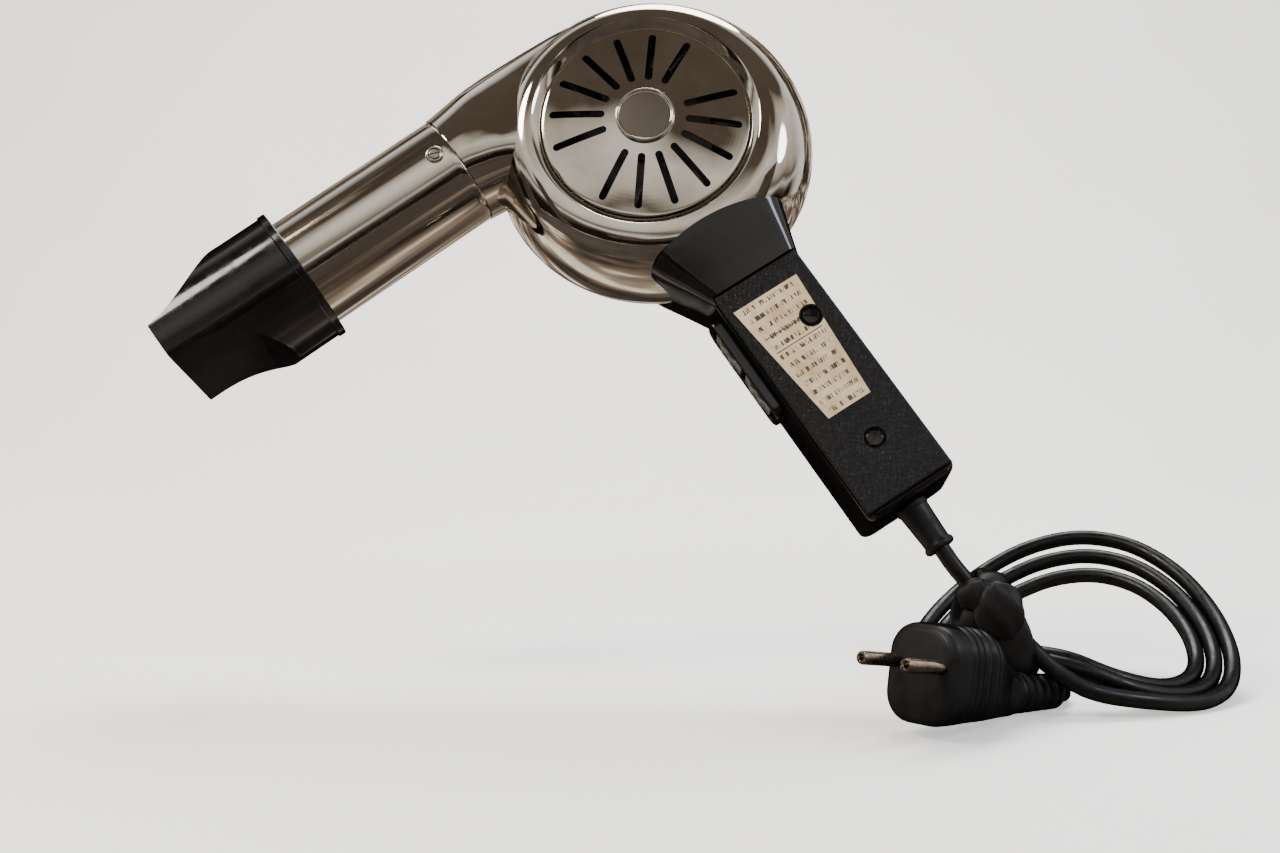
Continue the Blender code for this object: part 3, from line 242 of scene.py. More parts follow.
def turned(profile, count=96, x=0.0, z=0.0):
    """Rings about an axis along Y: radius times cosine and sine at each (radius, y) of the profile."""
    profile = np.asarray(profile, float)
    angle = np.linspace(0, 2 * np.pi, count, endpoint=False)
    radius, y = profile[:, :1], profile[:, 1:]
    return np.stack([x + radius * np.cos(angle), y + 0 * angle, z + radius * np.sin(angle)], -1)


def axis_x(grid, x=0.0, z=0.0):
    """The same rings about an axis along X, their +Y end towards -X."""
    return np.stack([x - grid[..., 1], grid[..., 0], z + grid[..., 2]], -1)


def box_skin(low, high):
    low, high = np.asarray(low, float), np.asarray(high, float)
    ring = np.array([[0, 0], [1, 0], [1, 1], [0, 1]], float)
    grid = np.array([[[a, b, k] for a, b in ring] for k in (0.0, 1.0)])
    return skin(low + grid * (high - low))


def outline(half_x, low_y, high_y, radius, steps=8):
    """A rectangle with round corners as an (n, 2) array, walked once round."""
    quarter = np.linspace(0, np.pi / 2, steps + 1)
    corners = [(half_x - radius, high_y - radius, 0), (radius - half_x, high_y - radius, 1),
               (radius - half_x, low_y + radius, 2), (half_x - radius, low_y + radius, 3)]
    arcs = []
    for x, y, k in corners:
        angle = quarter + k * np.pi / 2
        arcs.append(np.stack([x + radius * np.cos(angle), y + radius * np.sin(angle)], -1))
    return np.concatenate(arcs)


def spoke(shape, angle, low, high):
    """A slot's outline laid along a spoke at an angle and drawn out along Y from low to high."""
    c, s = math.cos(angle), math.sin(angle)
    ring = np.stack([shape[:, 1] * c - shape[:, 0] * s, shape[:, 1] * s + shape[:, 0] * c], -1)
    return np.stack([np.insert(ring, 1, y, axis=1) for y in (low, high)])


def backed(face, back_y):
    """A sheet of points facing -Y closed by a rim at one y: its points, its faces and the rim's places."""
    rows, columns = face.shape[:2]
    index = np.arange(rows * columns).reshape(rows, columns)
    quads = np.stack([index[:-1, :-1], index[1:, :-1], index[1:, 1:], index[:-1, 1:]], -1).reshape(-1, 4)
    border = np.concatenate([index[0, :-1], index[:-1, -1], index[-1, :0:-1], index[:0:-1, 0]])
    points = face.reshape(-1, 3)
    rim = points[border].copy()
    rim[:, 1] = back_y
    low = np.arange(len(border)) + rows * columns
    side = np.stack([border, np.roll(border, -1), np.roll(low, -1), low], -1)
    return np.concatenate([points, rim]), quads.tolist() + side.tolist() + [low[::-1].tolist()], border


def smooth_stations(rows, count):
    """Rows of station values, read evenly from the Catmull-Rom curve that passes through all of them."""
    rows = np.asarray(rows, float)
    knots = np.vstack([2 * rows[0] - rows[1], rows, 2 * rows[-1] - rows[-2]])
    place = np.linspace(0, len(rows) - 1.0001, count)
    k = place.astype(int)
    t = (place - k)[:, None]
    a, b, c, d = knots[k], knots[k + 1], knots[k + 2], knots[k + 3]
    square, cube = 2 * a - 5 * b + 4 * c - d, 3 * b - a - 3 * c + d
    return 0.5 * (2 * b + (c - a) * t + square * t ** 2 + cube * t ** 3)


def even_route(points, spacing):
    """The same smooth curve through a lead's points, read at an even spacing along its length."""
    fine = smooth_stations(points, 40 * len(points))
    along = np.concatenate([[0], np.cumsum(np.linalg.norm(np.diff(fine, axis=0), axis=1))])
    count = max(3, int(round(along[-1] / spacing)) + 1)
    even = np.linspace(0, along[-1], count)
    return np.stack([np.interp(even, along, fine[:, k]) for k in range(3)], -1)


# ------------------------------------------------------------------ materials -------------------
def linear(colour):
    """An sRGB hex value as linear red, green, blue and alpha."""
    channels = [int(colour[i:i + 2], 16) / 255 for i in (1, 3, 5)]
    return tuple(c / 12.92 if c <= 0.04045 else ((c + 0.055) / 1.055) ** 2.4 for c in channels) + (1.0,)


def add(tree, kind, links=None, inputs=None, **settings):
    """One node of a tree, with its settings, its input values and what is linked into it."""
    made = tree.nodes.new(kind)
    for name, value in settings.items():
        setattr(made, name, value)
    for name, value in (inputs or {}).items():
        made.inputs[name].default_value = value
    for name, source in (links or {}).items():
        tree.links.new(source, made.inputs[name])
    return made


def ramp(tree, source, stops):
    made = add(tree, "ShaderNodeValToRGB", {"Fac": source})
    ends = made.color_ramp.elements
    for element, (place, colour) in zip(ends, (stops[0], stops[-1])):
        element.position = place
        element.color = colour
    for place, colour in stops[1:-1]:
        ends.new(place).color = colour
    return made.outputs["Color"]


def grey(level):
    return (level, level, level, 1.0)


def start(name, colour, roughness, metallic=0.0, **inputs):
    """A named material with its Principled shader and Object coordinates ready."""
    made = bpy.data.materials.new(name)
    made.use_nodes = True
    tree = made.node_tree
    shader = tree.nodes["Principled BSDF"]
    shader.inputs["Base Color"].default_value = linear(colour)
    shader.inputs["Roughness"].default_value = roughness
    shader.inputs["Metallic"].default_value = metallic
    for key, value in inputs.items():
        shader.inputs[key.replace("_", " ")].default_value = value
    coordinates = add(tree, "ShaderNodeTexCoord").outputs["Object"]
    return made, tree, shader, coordinates


def mapped(tree, coordinates, **inputs):
    """Coordinates that are turned or scaled."""
    return add(tree, "ShaderNodeMapping", {"Vector": coordinates}, inputs).outputs["Vector"]


def noise(tree, coordinates, size_mm, detail=3.0, rough=0.5):
    """Cloudy values whose features are about size_mm across."""
    return add(tree, "ShaderNodeTexNoise", {"Vector": coordinates},
               {"Scale": 1000.0 / size_mm, "Detail": detail, "Roughness": rough}).outputs["Fac"]


def calm_edges(tree, shader, level):
    """Fade the reflection on faces seen edge-on, more than a plain surface would, so the blacks stay deep."""
    facing = add(tree, "ShaderNodeLayerWeight", inputs={"Blend": 0.5}).outputs["Facing"]
    fading = ramp(tree, facing, [(0.25, grey(level)), (0.68, grey(0.0))])
    tree.links.new(fading, shader.inputs["Specular IOR Level"])


def bump(tree, shader, height, depth_mm, strength=0.5):
    made = add(tree, "ShaderNodeBump", {"Height": height},
               {"Distance": depth_mm / 1000.0, "Strength": strength})
    tree.links.new(made.outputs["Normal"], shader.inputs["Normal"])


def tint(tree, shader, value, dark, light, low=0.3, high=0.7):
    colour = ramp(tree, value, [(low, linear(dark)), (high, linear(light))])
    tree.links.new(colour, shader.inputs["Base Color"])


def gloss(tree, shader, value, smooth, dull, low=0.35, high=0.7):
    level = ramp(tree, value, [(low, grey(smooth)), (high, grey(dull))])
    tree.links.new(level, shader.inputs["Roughness"])


def chrome_plate(name, light, dark):
    # Chrome plate on pressed metal, buffed: a clear mirror with faint handling haze and fine wipe marks.
    made, tree, shader, at = start(name, light, 0.06, 1.0)
    haze = noise(tree, at, 28.0, 4.0, 0.55)
    tint(tree, shader, haze, dark, light, 0.25, 0.65)
    gloss(tree, shader, noise(tree, at, 9.0, 5.0, 0.6), 0.035, 0.13, 0.42, 0.78)
    bump(tree, shader, noise(tree, at, 16.0, 2.0), 0.05, 0.12)
    return made


def drawn_tube(name, light, dark):
    # Drawn and polished tube: the buffing left faint lines along its length.
    made, tree, shader, at = start(name, light, 0.12, 1.0)
    along = mapped(tree, at, Rotation=(-LEAN, -ROLL, 0.0))
    stretched = mapped(tree, along, Scale=(0.05, 1.0, 1.0))
    lines = noise(tree, stretched, 1.6, 4.0, 0.6)
    tint(tree, shader, noise(tree, stretched, 12.0), dark, light)
    gloss(tree, shader, lines, 0.06, 0.17)
    bump(tree, shader, lines, 0.012, 0.15)
    return made


def brushed_badge(name, light, dark):
    # Nickel-plated disc with a spun brush finish: fine rings about its centre.
    made, tree, shader, _ = start(name, light, 0.45, 0.6)
    uv = add(tree, "ShaderNodeUVMap", uv_map="surface").outputs["UV"]
    rings = mapped(tree, uv, Scale=(4.0, 900.0, 1.0))
    lines = add(tree, "ShaderNodeTexNoise", {"Vector": rings}, {"Scale": 3.0, "Detail": 3.0}).outputs["Fac"]
    tint(tree, shader, lines, dark, light)
    gloss(tree, shader, lines, 0.36, 0.5)
    bump(tree, shader, lines, 0.02, 0.2)
    return made


def bakelite(name, light, dark):
    # Black phenolic moulding, polished: deep gloss with slight waviness and a dusting of fine dull specks.
    made, tree, shader, at = start(name, light, 0.13, 0.0, IOR=1.5)
    calm_edges(tree, shader, 0.45)
    tint(tree, shader, noise(tree, at, 14.0, 4.0), dark, light)
    gloss(tree, shader, noise(tree, at, 5.0, 6.0, 0.65), 0.10, 0.24, 0.45, 0.8)
    bump(tree, shader, noise(tree, at, 22.0, 2.0), 0.12, 0.15)
    return made


def leathercloth(name, light, dark):
    # Moulded leather grain: pebbles about 1.3 mm across with worn, shinier tops and dull creases.
    made, tree, shader, at = start(name, light, 0.42, 0.0, IOR=1.45)
    calm_edges(tree, shader, 0.4)
    wobble = noise(tree, at, 2.4, 2.0)
    moved = add(tree, "ShaderNodeVectorMath", {0: at}, operation="ADD")
    small = add(tree, "ShaderNodeVectorMath", {0: wobble}, operation="SCALE")
    small.inputs["Scale"].default_value = 0.0009
    tree.links.new(small.outputs[0], moved.inputs[1])
    cells = add(tree, "ShaderNodeTexVoronoi", {"Vector": moved.outputs[0]}, {"Scale": 1000.0 / 1.5},
                feature="DISTANCE_TO_EDGE").outputs["Distance"]
    pebble = ramp(tree, cells, [(0.0, grey(0.0)), (0.16, grey(0.75)), (0.5, grey(1.0))])
    tint(tree, shader, pebble, dark, light, 0.1, 0.9)
    gloss(tree, shader, pebble, 0.56, 0.30, 0.1, 0.9)
    bump(tree, shader, pebble, 0.22, 0.6)
    return made


def printed_card(name, light, dark):
    # Varnished paper label, yellowed and a little stained: two thin rules and rows of plain strokes.
    made, tree, shader, at = start(name, light, 0.48)
    stains = noise(tree, at, 9.0, 5.0, 0.6)
    paper = ramp(tree, stains, [(0.3, linear(dark)), (0.62, linear(light))])
    uv = add(tree, "ShaderNodeUVMap", uv_map="surface").outputs["UV"]
    split = add(tree, "ShaderNodeSeparateXYZ", {"Vector": uv})
    across, down = split.outputs["X"], split.outputs["Y"]

    def near(value, middle, half):
        shifted = add(tree, "ShaderNodeMath", {0: value}, {1: middle}, operation="SUBTRACT").outputs[0]
        size = add(tree, "ShaderNodeMath", {0: shifted}, operation="ABSOLUTE").outputs[0]
        return add(tree, "ShaderNodeMath", {0: size}, {1: half}, operation="LESS_THAN").outputs[0]

    def either(a, b):
        return add(tree, "ShaderNodeMath", {0: a, 1: b}, operation="MAXIMUM").outputs[0]

    rows = add(tree, "ShaderNodeMath", {0: down}, {1: 12.0}, operation="MULTIPLY").outputs[0]
    rows = add(tree, "ShaderNodeMath", {0: rows}, operation="FRACT").outputs[0]
    rows = near(rows, 0.5, 0.22)
    strokes = mapped(tree, uv, Scale=(46.0, 12.0, 1.0))
    strokes = add(tree, "ShaderNodeTexNoise", {"Vector": strokes},
                  {"Scale": 1.0, "Detail": 1.0}).outputs["Fac"]
    strokes = add(tree, "ShaderNodeMath", {0: strokes}, {1: 0.53}, operation="GREATER_THAN").outputs[0]
    marks = add(tree, "ShaderNodeMath", {0: rows, 1: strokes}, operation="MULTIPLY").outputs[0]
    rules = either(marks, either(near(down, 0.292, 0.004), near(down, 0.418, 0.004)))
    middle = near(across, 0.5, 0.42)
    inside = add(tree, "ShaderNodeMath", {0: middle, 1: rules}, operation="MULTIPLY").outputs[0]
    ink = add(tree, "ShaderNodeMix", {"Factor": inside, "A": paper}, data_type="RGBA")
    ink.inputs["B"].default_value = linear("#4A3C2C")
    tree.links.new(ink.outputs["Result"], shader.inputs["Base Color"])
    gloss(tree, shader, stains, 0.38, 0.6)
    bump(tree, shader, noise(tree, at, 1.2, 4.0), 0.02, 0.3)
    return made


def lead_rubber(name, light, dark, roughness):
    # Soft PVC, extruded: an even satin sheen with slightly dull, dusty patches.
    made, tree, shader, at = start(name, light, roughness, 0.0, IOR=1.45)
    calm_edges(tree, shader, 0.35)
    tint(tree, shader, noise(tree, at, 11.0, 4.0), dark, light)
    gloss(tree, shader, noise(tree, at, 4.0, 5.0), roughness - 0.08, roughness + 0.14)
    bump(tree, shader, noise(tree, at, 1.1, 3.0), 0.03, 0.25)
    return made


def satin_metal(name, light, dark, roughness, grain_mm=0.9):
    # Machined or pressed metal with a fine satin grain and a slight random variation in tone.
    made, tree, shader, at = start(name, light, roughness, 1.0)
    tint(tree, shader, noise(tree, at, 3.0, 4.0), dark, light)
    gloss(tree, shader, noise(tree, at, grain_mm, 3.0), roughness - 0.07, roughness + 0.12)
    bump(tree, shader, noise(tree, at, grain_mm, 2.0), 0.01, 0.3)
    return made


def moulded(name, light, dark, roughness, grain_mm=1.0):
    # Moulded plastic, carbon or mineral board: a fine even grain with a little colour variation.
    made, tree, shader, at = start(name, light, roughness, 0.0, IOR=1.5)
    tint(tree, shader, noise(tree, at, 7.0, 4.0), dark, light)
    gloss(tree, shader, noise(tree, at, 2.5, 4.0), roughness - 0.06, roughness + 0.12)
    bump(tree, shader, noise(tree, at, grain_mm, 2.0), 0.03, 0.3)
    return made


def wound_wire(name, light, dark):
    # Enamelled copper windings: tight parallel wires 0.5 mm apart under a brownish varnish.
    made, tree, shader, at = start(name, light, 0.35, 0.85)
    turns = add(tree, "ShaderNodeTexWave", {"Vector": at}, {"Scale": 1000.0 / 0.5 / 6.28, "Distortion": 1.5},
                wave_type="BANDS", bands_direction="Y").outputs["Fac"]
    tint(tree, shader, turns, dark, light, 0.1, 0.9)
    bump(tree, shader, turns, 0.1, 0.5)
    return made


MATERIALS = {}


def finish_of(name):
    """The object's own finishes, each made once from the colours in the panel."""
    if name in MATERIALS:
        return MATERIALS[name]
    colours = bpy.context.scene.dryer_colours
    makers = {
        "chrome": lambda: chrome_plate("polished chrome plate", hex_of(colours.chrome), "#A39B90"),
        "tube": lambda: drawn_tube("polished drawn tube", hex_of(colours.chrome), "#9C9387"),
        "badge": lambda: brushed_badge("spun nickel", hex_of(colours.badge), "#4B443D"),
        "bakelite": lambda: bakelite("black bakelite", hex_of(colours.bakelite), "#070606"),
        "grain": lambda: leathercloth("grained leathercloth", hex_of(colours.grain), "#050505"),
        "card": lambda: printed_card("varnished paper", hex_of(colours.label), "#C2A67C"),
        "lead": lambda: lead_rubber("black PVC", hex_of(colours.lead), "#080808", 0.34),
        "plug": lambda: lead_rubber("black plug rubber", "#141415", "#0A0A0A", 0.44),
        "strap": lambda: lead_rubber("black strap rubber", "#1B1917", "#0D0C0B", 0.55),
        "steel": lambda: satin_metal("nickel-plated steel", "#B5ADA2", "#7C756C", 0.24),
        "pin": lambda: satin_metal("nickel-plated brass pin", "#B8AC98", "#83786A", 0.2),
        "laminate": lambda: satin_metal("silicon steel", "#77746F", "#4B4845", 0.42),
        "brass": lambda: satin_metal("yellow brass", "#C2A05A", "#8A6C35", 0.3),
        "copper": lambda: wound_wire("enamelled copper", "#B0552C", "#5A2814"),
        "carbon": lambda: moulded("brush carbon", "#1C1C1D", "#0E0E0E", 0.6),
        "mica": lambda: moulded("mica board", "#A08B66", "#6F5D40", 0.5, 2.0),
        "nylon": lambda: moulded("grey nylon", "#4C4B49", "#37363A", 0.45),
        "rocker": lambda: moulded("dark grey rocker plastic", "#35322F", "#22201E", 0.32),
    }
    MATERIALS[name] = makers[name]()
    return MATERIALS[name]


def hex_of(colour):
    """A panel colour, which holds sRGB values, as hex."""
    return "#%02X%02X%02X" % tuple(int(round(255 * c)) for c in colour)


def put_on(made, body, slot, *nodes):
    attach(made, body)
    if nodes:
        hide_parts(*nodes)
    return made


# ------------------------------------------------------------------ shapes ----------------------
def drum_profile(offset=0.0, steps=18):
    """Radius, y and how far the centre has dropped, over the rim and down to the flat back.

    The front is a quarter ellipse from the bezel's crest out to the widest ring, whose centre drops with
    the sine; the back is a quarter ellipse from the widest ring in to the flat.
    """
    front = np.pi / 2 * np.linspace(0.03, 1, steps)
    back = np.pi / 2 * np.linspace(0, 1, steps)[1:]
    radius = np.concatenate([BEZEL_R + (DRUM_R - BEZEL_R + offset) * np.sin(front),
                             REAR_FLAT_R + (DRUM_R - REAR_FLAT_R + offset) * np.cos(back)])
    y = np.concatenate([WIDE_Y - (WIDE_Y - BEZEL_Y + offset) * np.cos(front),
                        WIDE_Y + (REAR_Y - WIDE_Y + offset) * np.sin(back)])
    share = np.concatenate([np.sin(front), np.ones(len(back))])
    return np.stack([radius, y, share], -1)


def drum_grid(profile, count=160):
    """Rings about Y, each centred below the motor's axis by its share of the drop."""
    profile = np.asarray(profile, float)
    angle = np.linspace(0, 2 * np.pi, count, endpoint=False)
    radius, y, share = (profile[:, k:k + 1] for k in range(3))
    return np.stack([radius * np.cos(angle), y + 0 * angle, radius * np.sin(angle) - share * DRUM_DROP], -1)


DUCT = [(SEAM_X, BARREL_R + 0.0004, BARREL_R + 0.0004, 2.0), (-0.060, 0.0243, 0.0231, 2.1),
        (-0.050, 0.0254, 0.0222, 2.3), (-0.040, 0.0260, 0.0203, 2.4), (-0.030, 0.0262, 0.0178, 2.5),
        (-0.016, 0.0263, 0.0145, 2.6), (0.000, 0.0258, 0.0120, 2.6), (0.010, 0.0240, 0.0095, 2.5),
        (0.020, 0.0200, 0.0060, 2.2)]


def duct_grid(rows, count=120):
    """Superellipse sections: each half axis times a signed power of cosine or sine."""
    rows = np.asarray(rows, float)
    angle = np.linspace(0, 2 * np.pi, count, endpoint=False)
    x, up, half, power = (rows[:, k:k + 1] for k in range(4))
    c, s = np.cos(angle), np.sin(angle)
    y = half * np.sign(c) * np.abs(c) ** (2 / power)
    z = up * np.sign(s) * np.abs(s) ** (2 / power)
    return np.stack([x + 0 * angle, y, BARREL_Z + z], -1)


def nozzle_section(x, shrink, around=40, flat=18):
    """A circle cut off by two chords: two arcs and two straight runs, with points kept on the creases.

    The top chord falls as a power of the distance from the shoulder; the bottom one sweeps in a scoop.
    """
    share = np.clip((x - NOZZLE_TIP_X) / (SHOULDER_X - NOZZLE_TIP_X), 0, 1)
    radius = NOZZLE_TIP_R + (NOZZLE_R - NOZZLE_TIP_R) * share
    top = NOZZLE_TOP + (NOZZLE_R * 1.001 - NOZZLE_TOP) * share ** 1.6 - shrink
    low = NOZZLE_BOTTOM + (-NOZZLE_R * 1.001 - NOZZLE_BOTTOM) * share ** 2.9 + shrink
    inner = radius - shrink
    a = math.asin(np.clip(top / inner, -1, 1))
    b = math.asin(np.clip(low / inner, -1, 1))
    right = np.linspace(b, a, around)
    left = np.linspace(np.pi - a, np.pi - b, around)
    run = np.linspace(0, 1, flat + 2)[1:-1]
    arcs = [np.stack([inner * np.cos(q), inner * np.sin(q)], -1) for q in (right, left)]
    upper = arcs[0][-1] + run[:, None] * (arcs[1][0] - arcs[0][-1])
    lower = arcs[1][-1] + run[:, None] * (arcs[0][0] - arcs[1][-1])
    ring = np.concatenate([arcs[0], upper, arcs[1], lower])
    return np.stack([np.full(len(ring), x), ring[:, 0], BARREL_Z + ring[:, 1]], -1)


def round_section(x, radius, around=40, flat=18):
    """A full circle with its points spread as the nozzle's end sections are, so that the two join."""
    a, b = math.pi / 2, -math.pi / 2
    pin = 1e-4
    right = np.linspace(b + pin, a - pin, around)
    left = np.linspace(np.pi - a + pin, np.pi - b - pin, around)
    run = np.linspace(0, 1, flat + 2)[1:-1]
    upper = right[-1] + run * (left[0] - right[-1])
    lower = left[-1] + run * (right[0] + 2 * np.pi - left[-1])
    angle = np.concatenate([right, upper, left, lower])
    return np.stack([np.full(len(angle), x), radius * np.cos(angle), BARREL_Z + radius * np.sin(angle)], -1)


# ------------------------------------------------------------------ settings --------------------
def measure(name, description, default):
    return bpy.props.FloatProperty(name=name, description=description, default=default, unit="LENGTH",
                                   precision=4)


class DryerSizes(bpy.types.PropertyGroup):
    slot_count: bpy.props.IntProperty(name="Slot places", description="Even places round the grille",
                                      default=16)
    slot_width: measure("Slot width", "Width of a grille slot", 0.0030)
    dome: measure("Grille dome", "How far the grille's middle stands out", 0.0047)
    lead_diameter: measure("Lead diameter", "Diameter of the mains lead", 0.0064)
    turns: bpy.props.FloatProperty(name="Coil turns", description="Turns in the tied coil", default=2.61)
    fan_out: measure("Fan out", "How far the turns spread at the back, per turn", 0.0046)


def shown(name, description, colour):
    """A colour property that holds sRGB values, from a hex default."""
    default = [int(colour[i:i + 2], 16) / 255 for i in (1, 3, 5)]
    return bpy.props.FloatVectorProperty(name=name, description=description, default=default, size=3,
                                         min=0, max=1, subtype="COLOR_GAMMA")


class DryerColours(bpy.types.PropertyGroup):
    chrome: shown("Chrome", "Polished housing, grille and barrel", "#C8C2B8")
    badge: shown("Badge", "Round badge in the grille", "#6E655B")
    bakelite: shown("Bakelite", "Grip body, nozzle and switch frame", "#0E0D0D")
    grain: shown("Grain", "Leather-grained grip cover", "#111112")
    label: shown("Label", "Paper label on the grip", "#E2CFAE")
    lead: shown("Lead", "Mains lead", "#101010")


# ------------------------------------------------------------------ operators -------------------
class DRYER_OT_housing(bpy.types.Operator):
    """Build both shells of the drum and duct, the joint between them, and the cap over the motor"""
    bl_idname = "dryer.housing"
    bl_label = "Housing"

    def execute(self, context):
        chrome = finish_of("chrome")
        ledge_in, motor_hole = 0.0388, 0.0262
        seat = np.array([(ledge_in, LEDGE_Y, 0), (LEDGE_OUT - 0.0002, LEDGE_Y, 0),
                         (LEDGE_OUT, LEDGE_Y - 0.0002, 0), (BEZEL_R - 0.0011, BEZEL_Y + 0.0005, 0),
                         (BEZEL_R - 0.0007, BEZEL_Y + 0.0001, 0), (BEZEL_R - 0.0002, BEZEL_Y - 0.0001, 0)])
        outer = np.vstack([seat, drum_profile()])
        inner = np.vstack([[(ledge_in, BEZEL_Y - 0.012, 0), (ledge_in, LEDGE_Y + WALL, 0),
                            (0.0424, LEDGE_Y + WALL, 0)], drum_profile(-WALL, 10),
                           [(motor_hole, REAR_Y - WALL, 0), (motor_hole, REAR_Y + 0.012, 0)]])
        duct = smooth_stations(DUCT, 60)
        bore = BARREL_R - 0.001 - 0.0003 - 0.0014
        way = np.vstack([[(SEAM_X - 0.016, bore, bore, 2.0), (SEAM_X + 0.002, bore, bore, 2.0)],
                         smooth_stations(DUCT[1:5], 16) - np.array([0, WALL, WALL, 0])])
        mouth = np.array([(LEDGE_OUT - 0.0002, LEDGE_Y, 0), (LEDGE_OUT, LEDGE_Y - 0.0002, 0),
                          (BEZEL_R - 0.0011, BEZEL_Y + 0.0005, 0), (BEZEL_R + 0.0004, BEZEL_Y - 0.0003, 0),
                          (BEZEL_R + 0.0004, BEZEL_Y - 0.012, 0)])
        spigot = axis_x(turned([(0.0217, -0.003), (0.0217, 0.0112), (0.0209, 0.012)], 96), SEAM_X, BARREL_Z)
        tools = [(make_piece("duct_way", skin(held(duct_grid(duct))), chrome), "UNION"),
                 (make_piece("spigot_way", skin(held(spigot)), chrome), "UNION"),
                 (make_piece("mouth_way", skin(held(drum_grid(mouth))), chrome), "DIFFERENCE"),
                 (make_piece("drum_way", skin(held(drum_grid(inner))), chrome), "DIFFERENCE"),
                 (make_piece("bore_way", skin(held(duct_grid(way))), chrome), "DIFFERENCE")]
        reach, joint = 0.2, 0.00035
        cuts = {"front_shell": ((-reach, WIDE_Y - joint, -reach), (reach, reach, reach)),
                "rear_shell": ((-reach, -reach, -reach), (reach, WIDE_Y + joint, reach))}
        for name, (low, high) in cuts.items():
            shell = make_piece(name + "_skin", skin(held(drum_grid(outer))), chrome)
            points, faces = box_skin(low, high)
            waste = make_piece(name + "_waste", (held(points), faces), chrome)
            carve(shell, tools + [(waste, "DIFFERENCE")], 30.0)
            drop([waste])
            put_on(shell, "housing", "chrome", name)
        drop([tool for tool, _ in tools])
        self.joint_line()
        self.cap(chrome)
        return {"FINISHED"}

    def joint_line(self):
        """A thin dark gasket in the groove between the shells, a ring a hair inside the skin."""
        profile = np.array([(DRUM_R - 0.0012, WIDE_Y - 0.0003, 1), (DRUM_R - 0.0004, WIDE_Y - 0.0003, 1),
                            (DRUM_R - 0.0004, WIDE_Y + 0.0003, 1), (DRUM_R - 0.0012, WIDE_Y + 0.0003, 1)])
        gasket = make_piece("joint_gasket", skin(held(drum_grid(profile)), loop=True), finish_of("carbon"))
        put_on(gasket, "housing", "carbon")

    def cap(self, chrome):
        """A pressed disc with a rolled rim, a ring of slots and a dimple."""
        seat, top, skin_wall, rim = REAR_Y + 0.0003, 0.026, 0.001, 0.0285
        profile = rounded([(rim - skin_wall, seat), (rim, seat), (rim, top - 0.0015), (rim - 0.0018, top),
                           (0.0042, top), (0.0034, top - 0.0005), (0.0001, top - 0.0005),
                           (0.0001, top - 0.0014), (rim - 0.0022, top - skin_wall),
                           (rim - skin_wall, top - 0.0022), (rim - skin_wall, seat)], 0.0009, 4)
        cap = make_piece("motor_cap_skin", skin(held(turned(profile[:-1], 128)), loop=True), chrome)
        tools = []
        for k in range(8):
            shape = outline(0.0011, 0.0125, 0.0225, 0.00105, 6)
            grid = spoke(shape, 2 * np.pi * (k + 0.5) / 8, top - 0.004, top + 0.003)
            tools.append((make_piece("cap_slot_way", skin(held(grid)), chrome), "DIFFERENCE"))
        carve(cap, tools)
        drop([tool for tool, _ in tools])
        put_on(cap, "housing", "chrome", "motor_cap")


class DRYER_OT_grille(bpy.types.Operator):
    """Build the domed grille with its radial slots, and the badge with its bright rim"""
    bl_idname = "dryer.grille"
    bl_label = "Grille and badge"

    def execute(self, context):
        sizes = context.scene.dryer_sizes
        chrome = finish_of("chrome")
        rim, thick, seat = 0.0411, 0.0009, LEDGE_Y - 0.0003
        share = np.linspace(0.02, 1, 26)
        front = np.stack([rim * share, seat - thick - sizes.dome * (1 - share ** 2)], -1)
        back = front[::-1] + np.array([0, thick])
        profile = rounded(np.vstack([front, back]), 0.0002, 2)
        grille = make_piece("intake_grille_skin", skin(held(turned(profile, 160)), loop=True), chrome)
        tools = []
        for k in range(sizes.slot_count):
            if k % (sizes.slot_count // 2) == 0:
                continue
            angle = math.radians(4.3) + 2 * np.pi * k / sizes.slot_count
            shape = outline(sizes.slot_width / 2, 0.0160, 0.0382, sizes.slot_width / 2 * 0.98, 8)
            grid = spoke(shape, angle, -0.032, -0.010)
            tools.append((make_piece("slot_way", skin(held(grid)), chrome), "DIFFERENCE"))
        carve(grille, tools, 35.0)
        drop([tool for tool, _ in tools])
        put_on(grille, "housing", "chrome", "intake_grille")
        face = seat - thick - sizes.dome
        ring = rounded([(0.0095, face - 0.0001), (0.0116, face + 0.0003), (0.0117, face - 0.0009),
                        (0.0113, face - 0.0014), (0.0107, face - 0.0014), (0.0103, face - 0.0008),
                        (0.0095, face - 0.0008)], 0.0003, 3)
        rim_piece = make_piece("badge_rim", skin(held(turned(ring, 96)), loop=True), chrome)
        put_on(rim_piece, "housing", "chrome")
        badge_r, around = 0.0101, 96
        r = np.linspace(badge_r, 0.0001, 24)
        disc = np.stack([r, face - 0.0008 - 0.0005 * (1 - (r / badge_r) ** 2)], -1)
        grid = turned(disc, around)
        uv = np.broadcast_arrays(np.arange(around) / float(around), (r / badge_r)[:, None])
        uv = np.stack(uv, -1).reshape(-1, 2)
        points, faces = skin(held(grid))
        badge = make_piece("badge_face", (points, faces), finish_of("badge"), uv=uv)
        put_on(badge, "housing", "nickel", "grille_badge")
        return {"FINISHED"}


